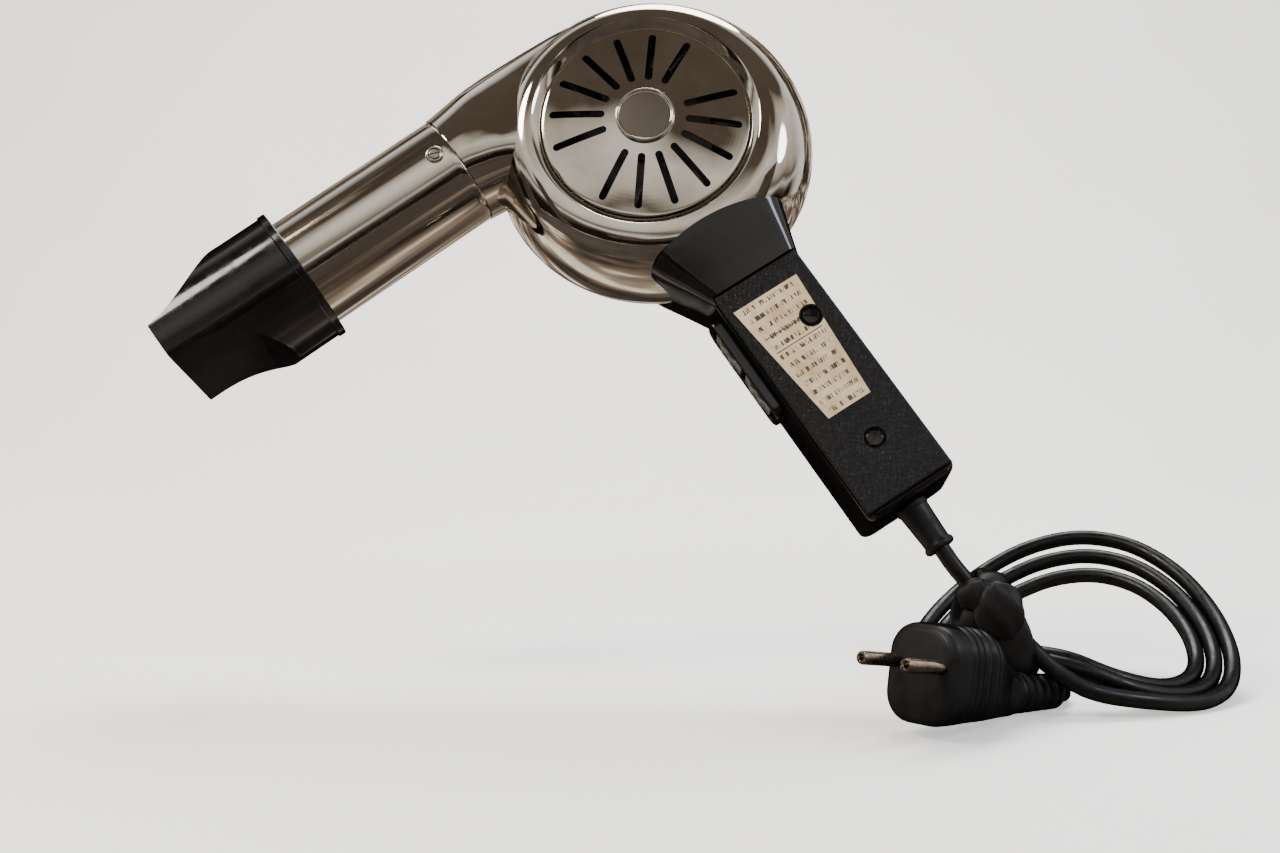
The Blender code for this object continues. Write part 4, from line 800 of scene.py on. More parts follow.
class DRYER_OT_barrel(bpy.types.Operator):
    """Build the barrel tube, its screw, and the fishtail nozzle"""
    bl_idname = "dryer.barrel"
    bl_label = "Barrel and nozzle"

    def execute(self, context):
        inner, start_x = BARREL_R - 0.001, SEAM_X - 0.0004
        length = start_x - BARREL_END_X
        run = np.linspace(0.0006, length - 0.0006, 40)
        outside = np.stack([np.full(40, BARREL_R), run], -1)
        profile = np.vstack([[(inner, 0.0), (BARREL_R - 0.0003, 0.0), (BARREL_R - 0.0001, 0.0002)], outside,
                             [(BARREL_R - 0.0003, length), (inner, length)]])
        grid = held(axis_x(turned(profile, 160), start_x, BARREL_Z))
        tube = make_piece("barrel_tube_skin", skin(grid, loop=True), finish_of("tube"))
        put_on(tube, "housing", "chrome", "barrel_tube")
        self.screw()
        self.nozzle()
        return {"FINISHED"}

    def screw(self):
        """A small cheese head in a raised eyelet, with a driver slot."""
        y = -BARREL_R
        eyelet = rounded([(0.0024, y + 0.0004), (0.0036, y + 0.0006), (0.0036, y - 0.0004),
                          (0.0031, y - 0.0009), (0.0025, y - 0.0009), (0.0024, y - 0.0004)], 0.0003, 3)
        grid = held(turned(eyelet, 48, BARREL_SCREW_X, BARREL_Z))
        made = make_piece("screw_eyelet", skin(grid, loop=True), finish_of("chrome"))
        put_on(made, "housing", "chrome")
        slotted_head("barrel_screw_head", held, (BARREL_SCREW_X, y - 0.0001, BARREL_Z), 0.0022, 0.0008,
                     finish_of("steel"), "barrel_screw", 25)

    def nozzle(self):
        """A round rear with a raised band, then the flat mouth; the outside first, then the bore."""
        bore, tip_wall, band = BARREL_R + 0.0004, 0.0016, NOZZLE_R + 0.0007
        rear = NOZZLE_REAR_X
        outside = [round_section(rear, NOZZLE_R - 0.0006), round_section(rear - 0.0001, band - 0.0003),
                   round_section(rear - 0.0004, band)]
        outside += [round_section(x, band) for x in np.linspace(rear - 0.0008, rear - 0.0030, 4)]
        outside += [round_section(rear - 0.0033, band - 0.0002), round_section(rear - 0.0035, NOZZLE_R)]
        outside += [round_section(x, NOZZLE_R) for x in np.linspace(rear - 0.0045, SHOULDER_X + 0.001, 14)]
        outside += [nozzle_section(x, 0.0) for x in np.linspace(SHOULDER_X, NOZZLE_TIP_X + 0.0003, 60)]
        outside += [nozzle_section(NOZZLE_TIP_X, 0.0003)]
        inside = [nozzle_section(NOZZLE_TIP_X, tip_wall - 0.0002)]
        inside += [nozzle_section(x, tip_wall) for x in np.linspace(NOZZLE_TIP_X + 0.0002, SHOULDER_X, 24)]
        inside += [round_section(BARREL_END_X - 0.001, bore + 0.0006),
                   round_section(BARREL_END_X + 0.001, bore), round_section(rear, bore)]
        grid = np.stack(outside + inside)
        nozzle = make_piece("nozzle_skin", skin(held(grid), loop=True), finish_of("bakelite"), 26.0)
        put_on(nozzle, "nozzle_body", "black_bakelite", "nozzle")


def slotted_head(name, place, at, radius, height, finish, node, turn_deg, out=-1):
    """A low domed head with a driver slot, facing along Y (out = -1 for the grille side)."""
    x, y, z = at
    rise = np.linspace(0, np.pi / 2, 9)
    dome = np.stack([radius * (0.82 + 0.18 * np.cos(rise)) * np.where(rise > 1.5, 0.985, 1),
                     y + out * height * (0.5 + 0.5 * np.sin(rise))], -1)
    middle = np.stack([np.linspace(0.8, 0.02, 8) * radius,
                       y + out * height * (1 + 0.10 * np.linspace(0, 1, 8))], -1)
    profile = np.vstack([[(radius * 0.98, y - out * 0.0004)], [(radius, y)], dome, middle])
    head = make_piece(name, skin(place(turned(profile, 40, x, z))), finish)
    points, faces = box_skin((-radius * 1.3, -0.002, -radius * 0.13), (radius * 1.3, 0.002, radius * 0.13))
    spin = about_y(math.radians(turn_deg))
    points = points @ spin.T + np.array([x, y + out * (height + 0.002 - 0.0004), z])
    slot_way = make_piece("slot_way", (place(points), faces), finish)
    carve(head, [(slot_way, "DIFFERENCE")], 30.0)
    drop([slot_way])
    return put_on(head, "housing", "steel", node)


class DRYER_OT_grip(bpy.types.Operator):
    """Build the grip's body with its flared collar, the grained cover, the label and the screws"""
    bl_idname = "dryer.grip"
    bl_label = "Grip"

    def execute(self, context):
        self.body()
        self.cover()
        self.label()
        for number, node, turn_deg in ((1, "cover_screw_top", 40), (2, "cover_screw_bottom", -20)):
            across, down = COVER_SCREWS[number - 1]
            slotted_head("cover_screw_head_%d" % number, gripped, (across, GRIP_FRONT + 0.0013, -down),
                         COVER_SCREW_R, 0.0009, finish_of("bakelite"), node, turn_deg)
        for number, angle in enumerate((-12, 192, 238, 302), 1):
            a = math.radians(angle)
            at = (HOUSING_SCREW_RING * math.cos(a), REAR_Y + 0.0003,
                  HOUSING_SCREW_RING * math.sin(a) - DRUM_DROP)
            slotted_head("housing_screw_head_%d" % number, held, at, 0.0026, 0.0012, finish_of("steel"),
                         "housing_screw_%d" % number, 30 * number, 1)
        return {"FINISHED"}

    def ring(self, down, left, right, front, rear, corner):
        """One section: a rectangle with round corners, off centre by its left and right reach."""
        shape = outline((left + right) / 2, -front, rear, corner, 8)
        return np.stack([shape[:, 0] + (right - left) / 2, shape[:, 1], np.full(len(shape), -down)], -1)

    def body(self):
        """The collar flares in three flat steps; the grip below it is straight with a small rolled end."""
        black = finish_of("bakelite")
        plain = (GRIP_HALF, GRIP_HALF, -GRIP_FRONT, GRIP_REAR, 0.0042)
        collar = [(0.0440, 0.0378, 0.0318, 0.0240, 0.0238, 0.0130),
                  (0.0580, 0.0313, 0.0262, 0.0207, 0.0212, 0.0090),
                  (0.0690, 0.0247, 0.0224, 0.0181, 0.0194, 0.0060), (GRIP_TOP, *plain)]
        soft = []
        for upper, lower in zip(collar, collar[1:]):
            t = np.linspace(0.06, 0.94, 5)[:, None]
            soft += list(np.asarray(upper) * (1 - t) + np.asarray(lower) * t)
        soft = [collar[0]] + soft + [(0.0800, *plain)]
        roll, end = 0.003, []
        for q in np.linspace(0, np.pi / 2, 7):
            fall = roll * (1 - math.cos(q))
            end.append((GRIP_END - roll + roll * math.sin(q), GRIP_HALF - fall, GRIP_HALF - fall,
                        -GRIP_FRONT - fall, GRIP_REAR - fall, 0.0042))
        grid = np.stack([self.ring(*row) for row in soft + end])
        body = make_piece("handle_body_skin", skin(gripped(grid)), black)
        wall = 0.0022
        core = [self.ring(d, a - wall, b - wall, c - wall, e - wall, max(f - wall / 2, 0.002))
                for d, a, b, c, e, f in collar + [(GRIP_END - 0.004, *plain)]]
        tools = [(make_piece("core_way", skin(gripped(np.stack(core))), black), "DIFFERENCE")]
        gap = 0.0003
        seat, seat_faces = box_skin((-COVER_HALF - gap, GRIP_FRONT - 0.01, -COVER_END - gap),
                                    (COVER_HALF + gap, GRIP_FRONT + COVER_THICK + gap, -COVER_TOP + gap))
        tools.append((make_piece("seat_way", (gripped(seat), seat_faces), black), "DIFFERENCE"))
        arch = turned([(0.128, -0.05), (0.128, 0.05), (0.068, 0.05), (0.068, -0.05)], 240, -0.006, -0.117)
        arch = make_piece("arch_way", skin(gripped(arch), loop=True), black)
        points, faces = box_skin((-0.09, -0.09, -0.079), (0.09, 0.09, 0.0))
        keep = make_piece("arch_keep", (gripped(points), faces), black)
        carve(arch, [(keep, "INTERSECT")])
        drop([keep])
        tools.append((arch, "DIFFERENCE"))
        drum = np.vstack([[(0.030, BEZEL_Y - 0.0008, 0)], drum_profile(0.0003, 16)])
        tools.append((make_piece("saddle_way", skin(held(drum_grid(drum))), black), "DIFFERENCE"))
        slot, slot_faces = box_skin((-GRIP_HALF - 0.01, -0.0053, -SWITCH_END + 0.003),
                                    (-GRIP_HALF + 0.006, 0.0053, -SWITCH_TOP - 0.003))
        tools.append((make_piece("switch_way", (gripped(slot), slot_faces), black), "DIFFERENCE"))
        carve(body, tools, 24.0)
        drop([tool for tool, _ in tools])
        put_on(body, "housing", "black_bakelite", "handle_body")

    def cover(self):
        """A plate whose face is a fine grid: its edge rolls off on a quarter circle, pebbles stand on it."""
        roll, pitch, depth = 0.0009, 0.0016, 0.00010
        rows, columns = 210, 78
        s = np.linspace(-1, 1, columns)
        t = np.linspace(0, 1, rows)
        crowd = np.pi / 2 * 0.98
        x = COVER_HALF * np.sin(s * np.pi / 2 * 0.98) / math.sin(crowd) * 0.35 + COVER_HALF * s * 0.65
        down = COVER_TOP + (COVER_END - COVER_TOP) * t
        gx, gd = np.meshgrid(x, down)
        edge = np.minimum(np.minimum(COVER_HALF - np.abs(gx), gd - COVER_TOP), COVER_END - gd)
        inset = np.clip(roll - edge, 0, roll)
        fall = roll - np.sqrt(np.maximum(roll ** 2 - inset ** 2, 0))
        lift = depth * self.pebbles(gx, gd, pitch) * np.clip(edge / 0.0012, 0, 1)
        y = GRIP_FRONT + fall - lift
        points, faces, _ = backed(np.stack([gx, y, -gd], -1), GRIP_FRONT + COVER_THICK)
        grain = finish_of("grain")
        cover = make_piece("handle_cover_skin", (gripped(points), faces), grain, 50.0)
        tools = []
        for x0, d0 in COVER_SCREWS:
            way = turned([(0.0046, GRIP_FRONT - 0.002), (0.0044, GRIP_FRONT - 0.0003),
                          (0.0039, GRIP_FRONT + 0.0004), (0.0037, GRIP_FRONT + 0.0014),
                          (0.0017, GRIP_FRONT + 0.0014), (0.0017, GRIP_FRONT + 0.006)], 48, x0, -d0)
            tools.append((make_piece("hole_way", skin(gripped(way)), grain), "DIFFERENCE"))
        carve(cover, tools, 50.0)
        drop([tool for tool, _ in tools])
        put_on(cover, "housing", "grain", "handle_cover")

    def pebbles(self, gx, gd, pitch):
        """How far each place is from the seams between the cells of a jittered grid, 0 to 1."""
        cell_x, cell_y = np.floor(gx / pitch), np.floor(gd / pitch)
        near = np.full(gx.shape, 9.0)
        second = np.full(gx.shape, 9.0)
        for i in (-1, 0, 1):
            for j in (-1, 0, 1):
                cx, cy = cell_x + i, cell_y + j
                jitter_x = np.abs(np.sin(cx * 12.9898 + cy * 78.233) * 43758.5453) % 1
                jitter_y = np.abs(np.sin(cx * 39.346 + cy * 11.135) * 24634.6345) % 1
                far = np.hypot(gx / pitch - cx - jitter_x, gd / pitch - cy - jitter_y)
                second = np.where(far < near, near, np.minimum(second, far))
                near = np.minimum(near, far)
        return np.clip((second - near) * 3.0, 0, 1)

    def label(self):
        """A thin card that tapers downwards, its face slightly bowed."""
        rows, columns = 24, 16
        t, s = np.meshgrid(np.linspace(0, 1, rows), np.linspace(0, 1, columns), indexing="ij")
        left = -0.0158 + (-0.0098 + 0.0158) * t
        right = 0.0130 + (0.0091 - 0.0130) * t
        x = left + (right - left) * s
        z = -(LABEL_TOP + (LABEL_END - LABEL_TOP) * t)
        lift = 0.00035 + 0.00012 * (1 - (2 * s - 1) ** 2)
        uv = np.stack([s, t], -1).reshape(-1, 2)
        points, faces, border = backed(np.stack([x, GRIP_FRONT - lift, z], -1), GRIP_FRONT - 0.0001)
        uv = np.concatenate([uv, uv[border]])
        card = make_piece("label_card", (gripped(points), faces), finish_of("card"), 40.0, uv)
        across, down = COVER_SCREWS[0]
        way = turned([(0.0047, GRIP_FRONT - 0.004), (0.0047, GRIP_FRONT + 0.004)], 48, across, -down)
        tool = make_piece("hole_way", skin(gripped(way)), finish_of("card"))
        carve(card, [(tool, "DIFFERENCE")], 40.0)
        drop([tool])
        put_on(card, "housing", "label", "label_plate")


class DRYER_OT_switch(bpy.types.Operator):
    """Build the switch frame on the grip's edge and its two rockers"""
    bl_idname = "dryer.switch"
    bl_label = "Switch"

    def execute(self, context):
        black = finish_of("bakelite")
        outer = -GRIP_HALF - 0.0042
        seat = -GRIP_HALF - 0.0003
        middle, half = -(SWITCH_TOP + SWITCH_END) / 2, (SWITCH_END - SWITCH_TOP) / 2
        out = outline(0.0075, -half, half, 0.0045, 10)
        opening = outline(0.0051, -half + 0.0032, half - 0.0032, 0.0015, 10)

        def level(x, shape, scale=1.0):
            return np.stack([np.full(len(shape), x), shape[:, 0] * scale, middle + shape[:, 1] * scale], -1)

        q = np.linspace(0, np.pi / 2, 6)
        rounds = [level(outer + 0.0010 * (1 - math.sin(a)), out, 1 - 0.035 * (1 - math.cos(a))) for a in q]
        lips = [level(outer + 0.0005 * (1 - math.cos(a)), opening, 1 + 0.03 * (1 - math.sin(a))) for a in q]
        grid = np.stack([level(seat, out)] + rounds + lips + [level(seat, opening)])
        bezel = make_piece("switch_frame", skin(gripped(grid), loop=True), black, 30.0)
        put_on(bezel, "housing", "black_bakelite", "switch_bezel")
        rocker_half = half / 2 - 0.0024
        for name, body, down in (("rocker_heat", "heat_rocker", -middle - rocker_half - 0.0005),
                                 ("rocker_fan", "fan_rocker", -middle + rocker_half + 0.0005)):
            self.rocker(name, body, down, rocker_half, outer)
        return {"FINISHED"}

    def rocker(self, name, body, down, half, outer):
        """A paddle with two finger hollows: its outer face is a cosine wave along its length."""
        pivot = -GRIP_HALF + 0.0012
        top = outer - pivot
        t = np.linspace(-1, 1, 25)
        face_x = pivot + top - 0.0002 + 0.0011 * np.abs(t) ** 3 + 0.0003 * np.cos(3 * np.pi * t)
        face_z = -down + t * (half - 0.0010)
        root, waist = pivot + 0.003, pivot + top * 0.45
        loop_x = np.concatenate([[root, waist], face_x, [waist, root]])
        loop_z = np.concatenate([[-down - 0.003, -down - half + 0.0012], face_z,
                                 [-down + half - 0.0012, -down + 0.003]])
        rows = []
        for y, inset in ((-0.0045, 0.0004), (-0.0041, 0.0), (0.0041, 0.0), (0.0045, 0.0004)):
            x = loop_x + inset * np.sign(pivot - 0.001 - loop_x) * -0.6
            z = -down + (loop_z + down) * (1 - inset / half)
            rows.append(np.stack([x, np.full(len(x), y), z], -1))
        made = make_piece(name + "_paddle", skin(gripped(np.stack(rows))), finish_of("rocker"), 35.0)
        put_on(made, body, "grey_plastic", name)


class DRYER_OT_lead(bpy.types.Operator):
    """Build the strain relief, the lead with its tied coil, the strap and the plug"""
    bl_idname = "dryer.lead"
    bl_label = "Lead and plug"

    def execute(self, context):
        sizes = context.scene.dryer_sizes
        radius = sizes.lead_diameter / 2
        self.relief(radius)
        pieces = self.plug()
        route, leave = self.route(sizes)
        curve = bpy.data.curves.new("mains_lead", "CURVE")
        curve.dimensions = "3D"
        curve.bevel_depth = radius
        curve.bevel_resolution = 6
        curve.use_fill_caps = True
        spline = curve.splines.new("POLY")
        spline.points.add(len(route) - 1)
        spline.points.foreach_set("co", np.hstack([route, np.ones((len(route), 1))]).ravel())
        curve.materials.append(finish_of("lead"))
        lead = bpy.data.objects.new("mains_lead", curve)
        context.scene.collection.objects.link(lead)
        put_on(lead, "housing", "rubber", "cord_lead", "cord_coil", "cord_tail")
        pieces += self.strap()
        return {"FINISHED"}

    def coil_point(self, angle, radius, rise):
        """The coil's surface: it leans up at the back, sags at its sides and has a slight twist."""
        wave = 0.0194 * np.sin(angle) + 0.0042 * np.cos(angle)
        wave = wave + 0.0076 * np.sin(2 * angle) - 0.0063 * np.cos(2 * angle)
        return COIL_CENTRE + np.stack([radius * np.cos(angle), radius * COIL_FLATTEN * np.sin(angle),
                                       wave * radius / COIL_R + rise], -1)

    def route(self, sizes):
        """Out of the relief, over the plug's boot, round the coil, then back under it and into the boot."""
        inside = gripped([0, 0, -(GRIP_END - 0.008)])
        leave = gripped([0, 0, -RELIEF_END])
        out = (leave - inside) / np.linalg.norm(leave - inside)
        first = [inside, leave, leave + out * 0.010, leave + np.array([0.0175, -0.0060, -0.0215]),
                 (0.2320, -0.0490, -0.1420), (0.2420, -0.0525, -0.1515), (0.2560, -0.0545, -0.1590)]
        begin = math.radians(-72)
        angle = begin + np.linspace(0, 2 * np.pi * sizes.turns, int(18 * sizes.turns))
        turn = (angle - begin) / (2 * np.pi)
        pitch = sizes.lead_diameter * 1.04
        back = (0.5 + 0.5 * np.sin(angle)) ** 2
        off = (np.degrees(angle) + 112 + 180) % 360 - 180
        hump = np.where(np.abs(off) < 48, np.cos(np.radians(off / 48 * 90)) ** 2, 0) * (turn > 0.5)
        rise = sizes.fan_out * (1.3 - turn) * back + 0.0062 * hump
        coil = self.coil_point(angle, COIL_R - pitch * turn, rise)
        rest = FLOOR_Z + sizes.lead_diameter / 2
        coil[:, 2] = np.maximum(coil[:, 2], rest)
        last = [(0.2172, 0.0215, -0.1560), (0.2203, 0.0090, -0.1590), (0.2295, -0.0005, -0.1622),
                (0.2385, -0.0040, -0.1640), (0.2465, -0.0100, rest), (0.2505, -0.0185, rest),
                (0.2500, -0.0290, -0.1645), tuple(plugged(0.0800, 0.0, -0.0070)),
                tuple(plugged(0.0740, 0.0, -0.0070))]
        points = np.vstack([first, coil, last])
        return even_route(points, sizes.lead_diameter * 0.6), leave

    def relief(self, radius):
        """A tapered sleeve with a collar at the grip and a small lip at its end."""
        bore, big = radius + 0.0003, 0.0066
        profile = rounded([(bore, GRIP_END - 0.007), (big, GRIP_END - 0.007), (big, GRIP_END - 0.0043),
                           (0.0048, GRIP_END - 0.0043), (0.0048, GRIP_END + 0.0003), (big, GRIP_END + 0.0003),
                           (big, GRIP_END + 0.0022), (big - 0.0006, GRIP_END + 0.0028),
                           (big - 0.0014, RELIEF_END - 0.0030), (big - 0.0006, RELIEF_END - 0.0023),
                           (big - 0.0006, RELIEF_END - 0.0006), (big - 0.0014, RELIEF_END),
                           (bore, RELIEF_END)], 0.0006, 3)
        grid = turned(profile, 64)
        grid = np.stack([grid[..., 0], grid[..., 2], -grid[..., 1]], -1)
        sleeve = make_piece("strain_relief_sleeve", skin(gripped(grid), loop=True), finish_of("plug"))
        put_on(sleeve, "housing", "rubber", "strain_relief")

    def strap(self):
        """Two wraps of a flat strap round the lead and the turns below it, and the knot's bulge in front.

        Each wrap is a thin superellipse carried round an ellipse whose radius ripples and whose plane leans.
        """
        made = []
        angle = np.linspace(0, 2 * np.pi, 96, endpoint=False)[:, None]
        q = np.linspace(0, 2 * np.pi, 28, endpoint=False)
        for number, (lean, centre, half_y, half_z, wide) in enumerate((
                (0.55, (0.2165, -0.0400, -0.1335), 0.0118, 0.0140, 0.0068),
                (-0.75, (0.2255, -0.0415, -0.1385), 0.0118, 0.0150, 0.0062)), 1):
            across = wide * np.sign(np.cos(q)) * np.abs(np.cos(q)) ** 0.7
            across = across * (1 + 0.16 * np.sin(2 * angle + number))
            thick = 0.0019 * np.sign(np.sin(q)) * np.abs(np.sin(q)) ** 0.8
            belly = 0.0012 * np.cos(across / wide * 1.5)
            ripple = 0.0007 * np.sin(3 * angle + number) + 0.0004 * np.sin(7 * angle + across * 500)
            out_y = (half_y + thick + belly + ripple) * np.cos(angle)
            out_z = (half_z + thick + belly + ripple) * np.sin(angle)
            grid = np.stack([centre[0] + across + lean * out_z * 0.6, centre[1] + out_y,
                             centre[2] + out_z - lean * across * 0.6], -1)
            band = make_piece("lead_strap_%d" % number, skin(grid, loop=True), finish_of("strap"), 60.0)
            made.append(put_on(band, "housing", "rubber"))
        turn = np.linspace(0.02, np.pi - 0.02, 22)[:, None]
        q = np.linspace(0, 2 * np.pi, 40, endpoint=False)
        for number, (centre, size, lean) in enumerate((
                ((0.2215, -0.0545, -0.1300), (0.0085, 0.0050, 0.0105), 0.5),
                ((0.2140, -0.0530, -0.1245), (0.0070, 0.0045, 0.0060), -0.4)), 1):
            lump = 1 + 0.10 * np.sin(3 * q + 2 * turn) * np.sin(turn)
            lump = lump + 0.05 * np.sin(6 * q - 4 * turn) * np.sin(turn)
            x = size[0] * lump * np.sin(turn) * np.cos(q)
            y = size[1] * lump * np.sin(turn) * np.sin(q)
            z = size[2] * lump * np.cos(turn) + 0 * q
            grid = np.stack([centre[0] + x + lean * -z * 0.5, centre[1] + y,
                             centre[2] + z + lean * x * 0.5], -1)
            knot = make_piece("lead_knot_%d" % number, skin(grid), finish_of("strap"), 60.0)
            made.append(put_on(knot, "housing", "rubber"))
        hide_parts("cord_tie")
        return made

    def plug(self):
        """The moulded body, its ribbed boot and two hollow-ended pins."""
        rubber, pin = finish_of("plug"), finish_of("pin")
        stations = [(0.0000, 0.0108, 0.0177, 0.0112), (0.0006, 0.0122, 0.0191, 0.0128),
                    (0.0025, 0.0136, 0.0203, 0.0146), (0.0080, 0.0141, 0.0202, 0.0151),
                    (0.0180, 0.0141, 0.0192, 0.0151), (0.0260, 0.0132, 0.0184, 0.0146),
                    (0.0330, 0.0088, 0.0177, 0.0122), (0.0400, 0.0040, 0.0170, 0.0098),
                    (0.0470, 0.0006, 0.0163, 0.0088)]
        rows = smooth_stations(stations, 110)
        grid = []
        for back, high, low, half in rows:
            shape = outline(half, -low, high, half * 0.72, 10)
            wave = math.cos((back - 0.0185) / 0.0042 * 2 * math.pi)
            groove = 0.0007 * max(0.0, wave) * (0.010 < back < 0.031)
            hollow = 1 - (groove + 0.0011 * math.exp(-((back - 0.020) / 0.006) ** 2)) / half
            grid.append(plugged(np.full(len(shape), back), shape[:, 0] * hollow,
                                shape[:, 1] * (1 - groove / high)))
        body = make_piece("plug_shell", skin(np.stack(grid)), rubber, 45.0)
        put_on(body, "housing", "rubber", "plug_body")
        made = [body]
        share = np.linspace(0, 1, 90)
        rib = np.clip(np.cos(share * 2 * np.pi * 6) * 2.2, -1, 1) * 0.5 + 0.5
        rib = np.where((share < 0.10) | (share > 0.93), 1, rib)
        size = 0.0080 + (0.0064 - 0.0080) * share - 0.0009 * (1 - rib)
        size[0] -= 0.0005
        size[-1] -= 0.0007
        fall = 0.0085 + (0.0070 - 0.0085) * share
        angle = np.linspace(0, 2 * np.pi, 56, endpoint=False)
        boot = plugged((BOOT_START + (BOOT_END - BOOT_START) * share)[:, None] + 0 * angle,
                       size[:, None] * np.cos(angle), size[:, None] * np.sin(angle) - fall[:, None])
        ribs = make_piece("plug_boot_ribs", skin(boot), rubber, 40.0)
        made.append(put_on(ribs, "housing", "rubber", "plug_boot"))
        for node, side in (("plug_pin_a", -1), ("plug_pin_b", 1)):
            profile = np.array([(PIN_R, 0.0002), (PIN_R, -0.0180), (0.0022, -0.0187), (0.0018, -0.0190),
                                (0.0013, -0.0190), (0.0010, -0.0186), (0.0010, -0.0160), (0.0001, -0.0158)])
            r, back = profile[:, :1], profile[:, 1:]
            a = np.linspace(0, 2 * np.pi, 40, endpoint=False)
            grid = plugged(back + 0 * a, side * PIN_APART / 2 + r * np.cos(a), r * np.sin(a))
            made.append(put_on(make_piece(node + "_tube", skin(grid), pin, 35.0), "housing", "steel", node))
        return made


class DRYER_OT_works(bpy.types.Operator):
    """Give the motor, fan, heater and fittings inside their own materials"""
    bl_idname = "dryer.works"
    bl_label = "Works"

    def execute(self, context):
        kinds = {"nylon": ("impeller",),
                 "steel": ("impeller_nut", "motor_shaft", "motor_tie_a", "motor_tie_b", "motor_front_plate",
                           "motor_rear_plate", "nozzle_clip", "cord_clamp"),
                 "laminate": ("stator", "armature_core", "heater_coil"),
                 "copper": ("field_coil_a", "field_coil_b", "armature_winding"),
                 "brass": ("front_bearing", "rear_bearing", "commutator", "brush_holder_a", "brush_holder_b",
                           "thermal_cutout"),
                 "carbon": ("brush_a", "brush_b", "switch_body"), "mica": ("heater_former", "terminal_block")}
        for kind, nodes in kinds.items():
            for node in nodes:
                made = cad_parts[node]
                made.data.materials.clear()
                made.data.materials.append(finish_of(kind))
        return {"FINISHED"}


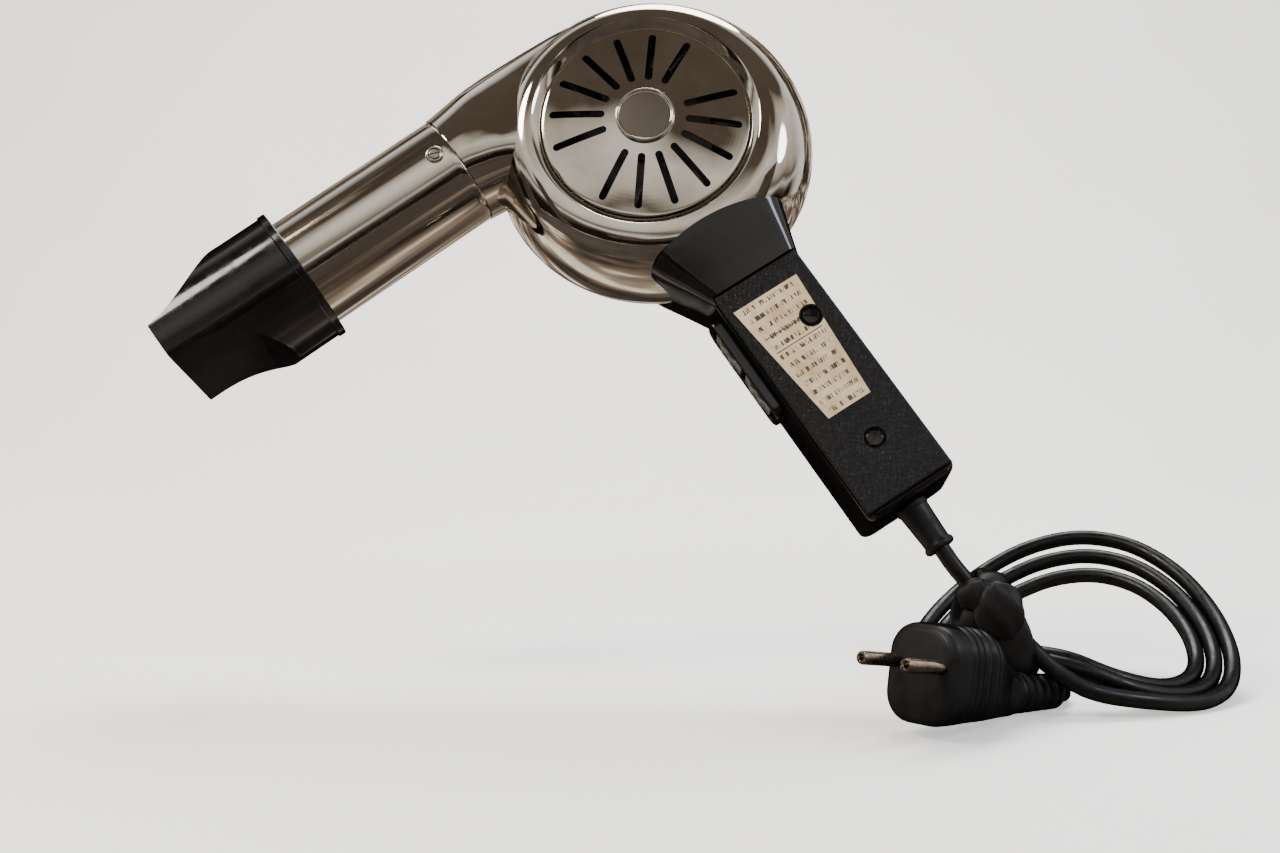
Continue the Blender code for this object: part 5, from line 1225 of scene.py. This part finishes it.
class DRYER_OT_stage(bpy.types.Operator):
    """Build the pale floor, the soft lights, the reflecting cards and the camera"""
    bl_idname = "dryer.stage"
    bl_label = "Stage"

    def execute(self, context):
        self.floor()
        self.cards()
        self.lights(context)
        self.camera(context)
        return {"FINISHED"}

    def floor(self):
        """A sweep, flat then curved up to a wall. The view sees it pale; reflections see a dark table."""
        bend = np.linspace(0, np.pi / 2, 24)
        y = np.concatenate([[-2.5, 0.6], 0.9 + 0.8 * np.sin(bend), [1.7]])
        z = np.concatenate([[0, 0], 0.8 - 0.8 * np.cos(bend), [3.2]]) + FLOOR_Z
        grid = np.stack([np.stack([np.full(len(y), x), y, z], -1) for x in (-3.0, 3.0)])
        rows, count = grid.shape[:2]
        faces = [(i, i + 1, count + i + 1, count + i) for i in range(count - 1)]
        mesh = bpy.data.meshes.new("studio_floor")
        mesh.from_pydata(grid.reshape(-1, 3).tolist(), [], faces)
        mesh.shade_smooth()
        paper, tree, shader, at = start("pale paper", "#F4F2EF", 0.85)
        shader.inputs["Emission Color"].default_value = grey(1.0)
        pale = ramp(tree, noise(tree, at, 300.0, 3.0), [(0.3, linear("#F1EFEC")), (0.7, linear("#F6F4F2"))])
        ray = add(tree, "ShaderNodeLightPath").outputs
        table = add(tree, "ShaderNodeMix", {"Factor": ray["Is Glossy Ray"], "A": pale}, data_type="RGBA")
        streaks = noise(tree, mapped(tree, at, Scale=(1.0, 3.2, 1.0)), 420.0, 3.0)
        streaks = ramp(tree, streaks, [(0.36, linear("#1F1916")), (0.46, linear("#5E5146")),
                                       (0.54, linear("#8D8073")), (0.60, linear("#EDE6DC"))])
        tree.links.new(streaks, table.inputs["B"])
        tree.links.new(table.outputs["Result"], shader.inputs["Base Color"])
        glow = add(tree, "ShaderNodeMath", {0: ray["Is Camera Ray"]}, {1: 0.6}, operation="MULTIPLY")
        tree.links.new(glow.outputs[0], shader.inputs["Emission Strength"])
        mesh.materials.append(paper)
        made = bpy.data.objects.new("studio_floor", mesh)
        bpy.context.scene.collection.objects.link(made)

    def cards(self):
        """A dark cloth and dark cards that only reflections see: they draw the bands in the polish."""
        dark, tree, shader, at = start("dark cloth", "#3A322C", 0.9)
        tint(tree, shader, noise(tree, at, 200.0), "#2E2722", "#463D36")
        cards = [[(-1.6, -1.9, 0.003), (1.7, -1.9, 0.003), (1.7, -0.30, 0.003), (-1.6, -0.30, 0.003)]]
        for centre, size in (((-0.85, -1.20, 0.35), (0.22, 0.8)), ((0.12, -1.40, 0.16), (0.8, 0.12)),
                             ((1.0, -0.8, 0.15), (0.3, 0.8)), ((-1.1, -0.5, 0.0), (0.30, 0.7))):
            centre = np.asarray(centre)
            toward = np.array([0.06, 0.0, 0.0]) - centre
            toward /= np.linalg.norm(toward)
            right = np.cross(toward, [0, 0, 1.0])
            right /= np.linalg.norm(right)
            up = np.cross(right, toward)
            cards.append([centre + a * size[0] / 2 * right + b * size[1] / 2 * up - (0, 0, FLOOR_Z)
                          for a, b in ((-1, -1), (1, -1), (1, 1), (-1, 1))])
        for number, corners in enumerate(cards, 1):
            mesh = bpy.data.meshes.new("card_%d" % number)
            mesh.from_pydata([(p[0], p[1], p[2] + FLOOR_Z) for p in corners], [], [(0, 1, 2, 3)])
            mesh.materials.append(dark)
            made = bpy.data.objects.new("card_%d" % number, mesh)
            made.visible_camera = made.visible_diffuse = made.visible_shadow = False
            bpy.context.scene.collection.objects.link(made)

    def lights(self, context):
        """A room, white behind and in warm light and dark bands in front, and three soft lamps."""
        world = bpy.data.worlds.new("studio")
        world.use_nodes = True
        tree = world.node_tree
        ground = tree.nodes["Background"]
        way = add(tree, "ShaderNodeTexCoord").outputs["Generated"]
        sway = add(tree, "ShaderNodeTexNoise", {"Vector": way}, {"Scale": 1.6, "Detail": 2.0}).outputs["Fac"]
        height = add(tree, "ShaderNodeSeparateXYZ", {"Vector": way}).outputs["Z"]
        level = add(tree, "ShaderNodeMath", {0: sway}, {1: 0.55}, operation="MULTIPLY").outputs[0]
        level = add(tree, "ShaderNodeMath", {0: height, 1: level}, operation="ADD").outputs[0]
        bands = ((0.10, "#1B1613"), (0.34, "#241D19"), (0.42, "#6B6157"), (0.50, "#EFECE6"),
                 (0.58, "#6A6158"), (0.66, "#D5CFC5"), (0.84, "#FBF8F2"), (0.95, "#C2BBAF"), (1.0, "#5A5047"))
        room = ramp(tree, level, [(place, linear(colour)) for place, colour in bands])
        depth = add(tree, "ShaderNodeSeparateXYZ", {"Vector": way}).outputs["Y"]
        share = ramp(tree, depth, [(0.05, grey(0.0)), (0.30, grey(1.0))])
        both = add(tree, "ShaderNodeMix", {"Factor": share, "A": room}, data_type="RGBA")
        both.inputs["B"].default_value = linear("#FFFFFF")
        direct = add(tree, "ShaderNodeLightPath").outputs["Is Camera Ray"]
        seen = add(tree, "ShaderNodeMix", {"Factor": direct, "A": both.outputs["Result"]}, data_type="RGBA")
        seen.inputs["B"].default_value = linear("#E4E2DF")
        tree.links.new(seen.outputs["Result"], ground.inputs["Color"])
        ground.inputs["Strength"].default_value = 1.35
        context.scene.world = world
        for name, place, size, power, warmth in (("key_light", (-1.3, -0.8, 1.5), 0.7, 32.0, "#FFF6EA"),
                                                 ("fill_light", (1.5, -0.7, 0.9), 0.5, 9.0, "#DDE6FF"),
                                                 ("back_light", (0.2, 1.0, 1.9), 1.4, 60.0, "#FFFFFF")):
            lamp = bpy.data.lights.new(name, "AREA")
            lamp.shape = "DISK"
            lamp.size = size
            lamp.energy = power
            lamp.color = linear(warmth)[:3]
            made = bpy.data.objects.new(name, lamp)
            made.location = place
            made.rotation_euler = (Vector((0.08, 0, 0)) - Vector(place)).to_track_quat("-Z", "Y").to_euler()
            context.scene.collection.objects.link(made)

    def camera(self, context):
        data = bpy.data.cameras.new("front_view")
        data.lens = VIEW_LENS_MM
        data.sensor_width = 36.0
        data.clip_start = 0.01
        made = bpy.data.objects.new("front_view", data)
        made.location = VIEW_FROM
        made.rotation_euler = [math.radians(angle) for angle in VIEW_TURN_DEG]
        context.scene.collection.objects.link(made)
        context.scene.camera = made


class DRYER_PT_panel(bpy.types.Panel):
    """Sizes, colours and the build steps of the dryer"""
    bl_label = "Hair dryer"
    bl_idname = "DRYER_PT_panel"
    bl_space_type = "VIEW_3D"
    bl_region_type = "UI"
    bl_category = "Dryer"

    def draw(self, context):
        for group in (context.scene.dryer_sizes, context.scene.dryer_colours):
            box = self.layout.box()
            for key in group.__annotations__:
                box.prop(group, key)
        for step in STEPS:
            self.layout.operator(step.bl_idname)


STEPS = (DRYER_OT_stage, DRYER_OT_lead, DRYER_OT_housing, DRYER_OT_grille, DRYER_OT_barrel, DRYER_OT_grip,
         DRYER_OT_switch, DRYER_OT_works)
CLASSES = (DryerSizes, DryerColours, *STEPS, DRYER_PT_panel)


def register():
    for item in CLASSES:
        bpy.utils.register_class(item)
    bpy.types.Scene.dryer_sizes = bpy.props.PointerProperty(type=DryerSizes)
    bpy.types.Scene.dryer_colours = bpy.props.PointerProperty(type=DryerColours)


def unregister():
    del bpy.types.Scene.dryer_colours
    del bpy.types.Scene.dryer_sizes
    for item in reversed(CLASSES):
        bpy.utils.unregister_class(item)


def main():
    register()
    bpy.ops.dryer.stage()
    bpy.ops.dryer.lead()
    bpy.ops.dryer.housing()
    bpy.ops.dryer.grille()
    bpy.ops.dryer.barrel()
    bpy.ops.dryer.grip()
    bpy.ops.dryer.switch()
    bpy.ops.dryer.works()


if __name__ == "__main__":
    main()
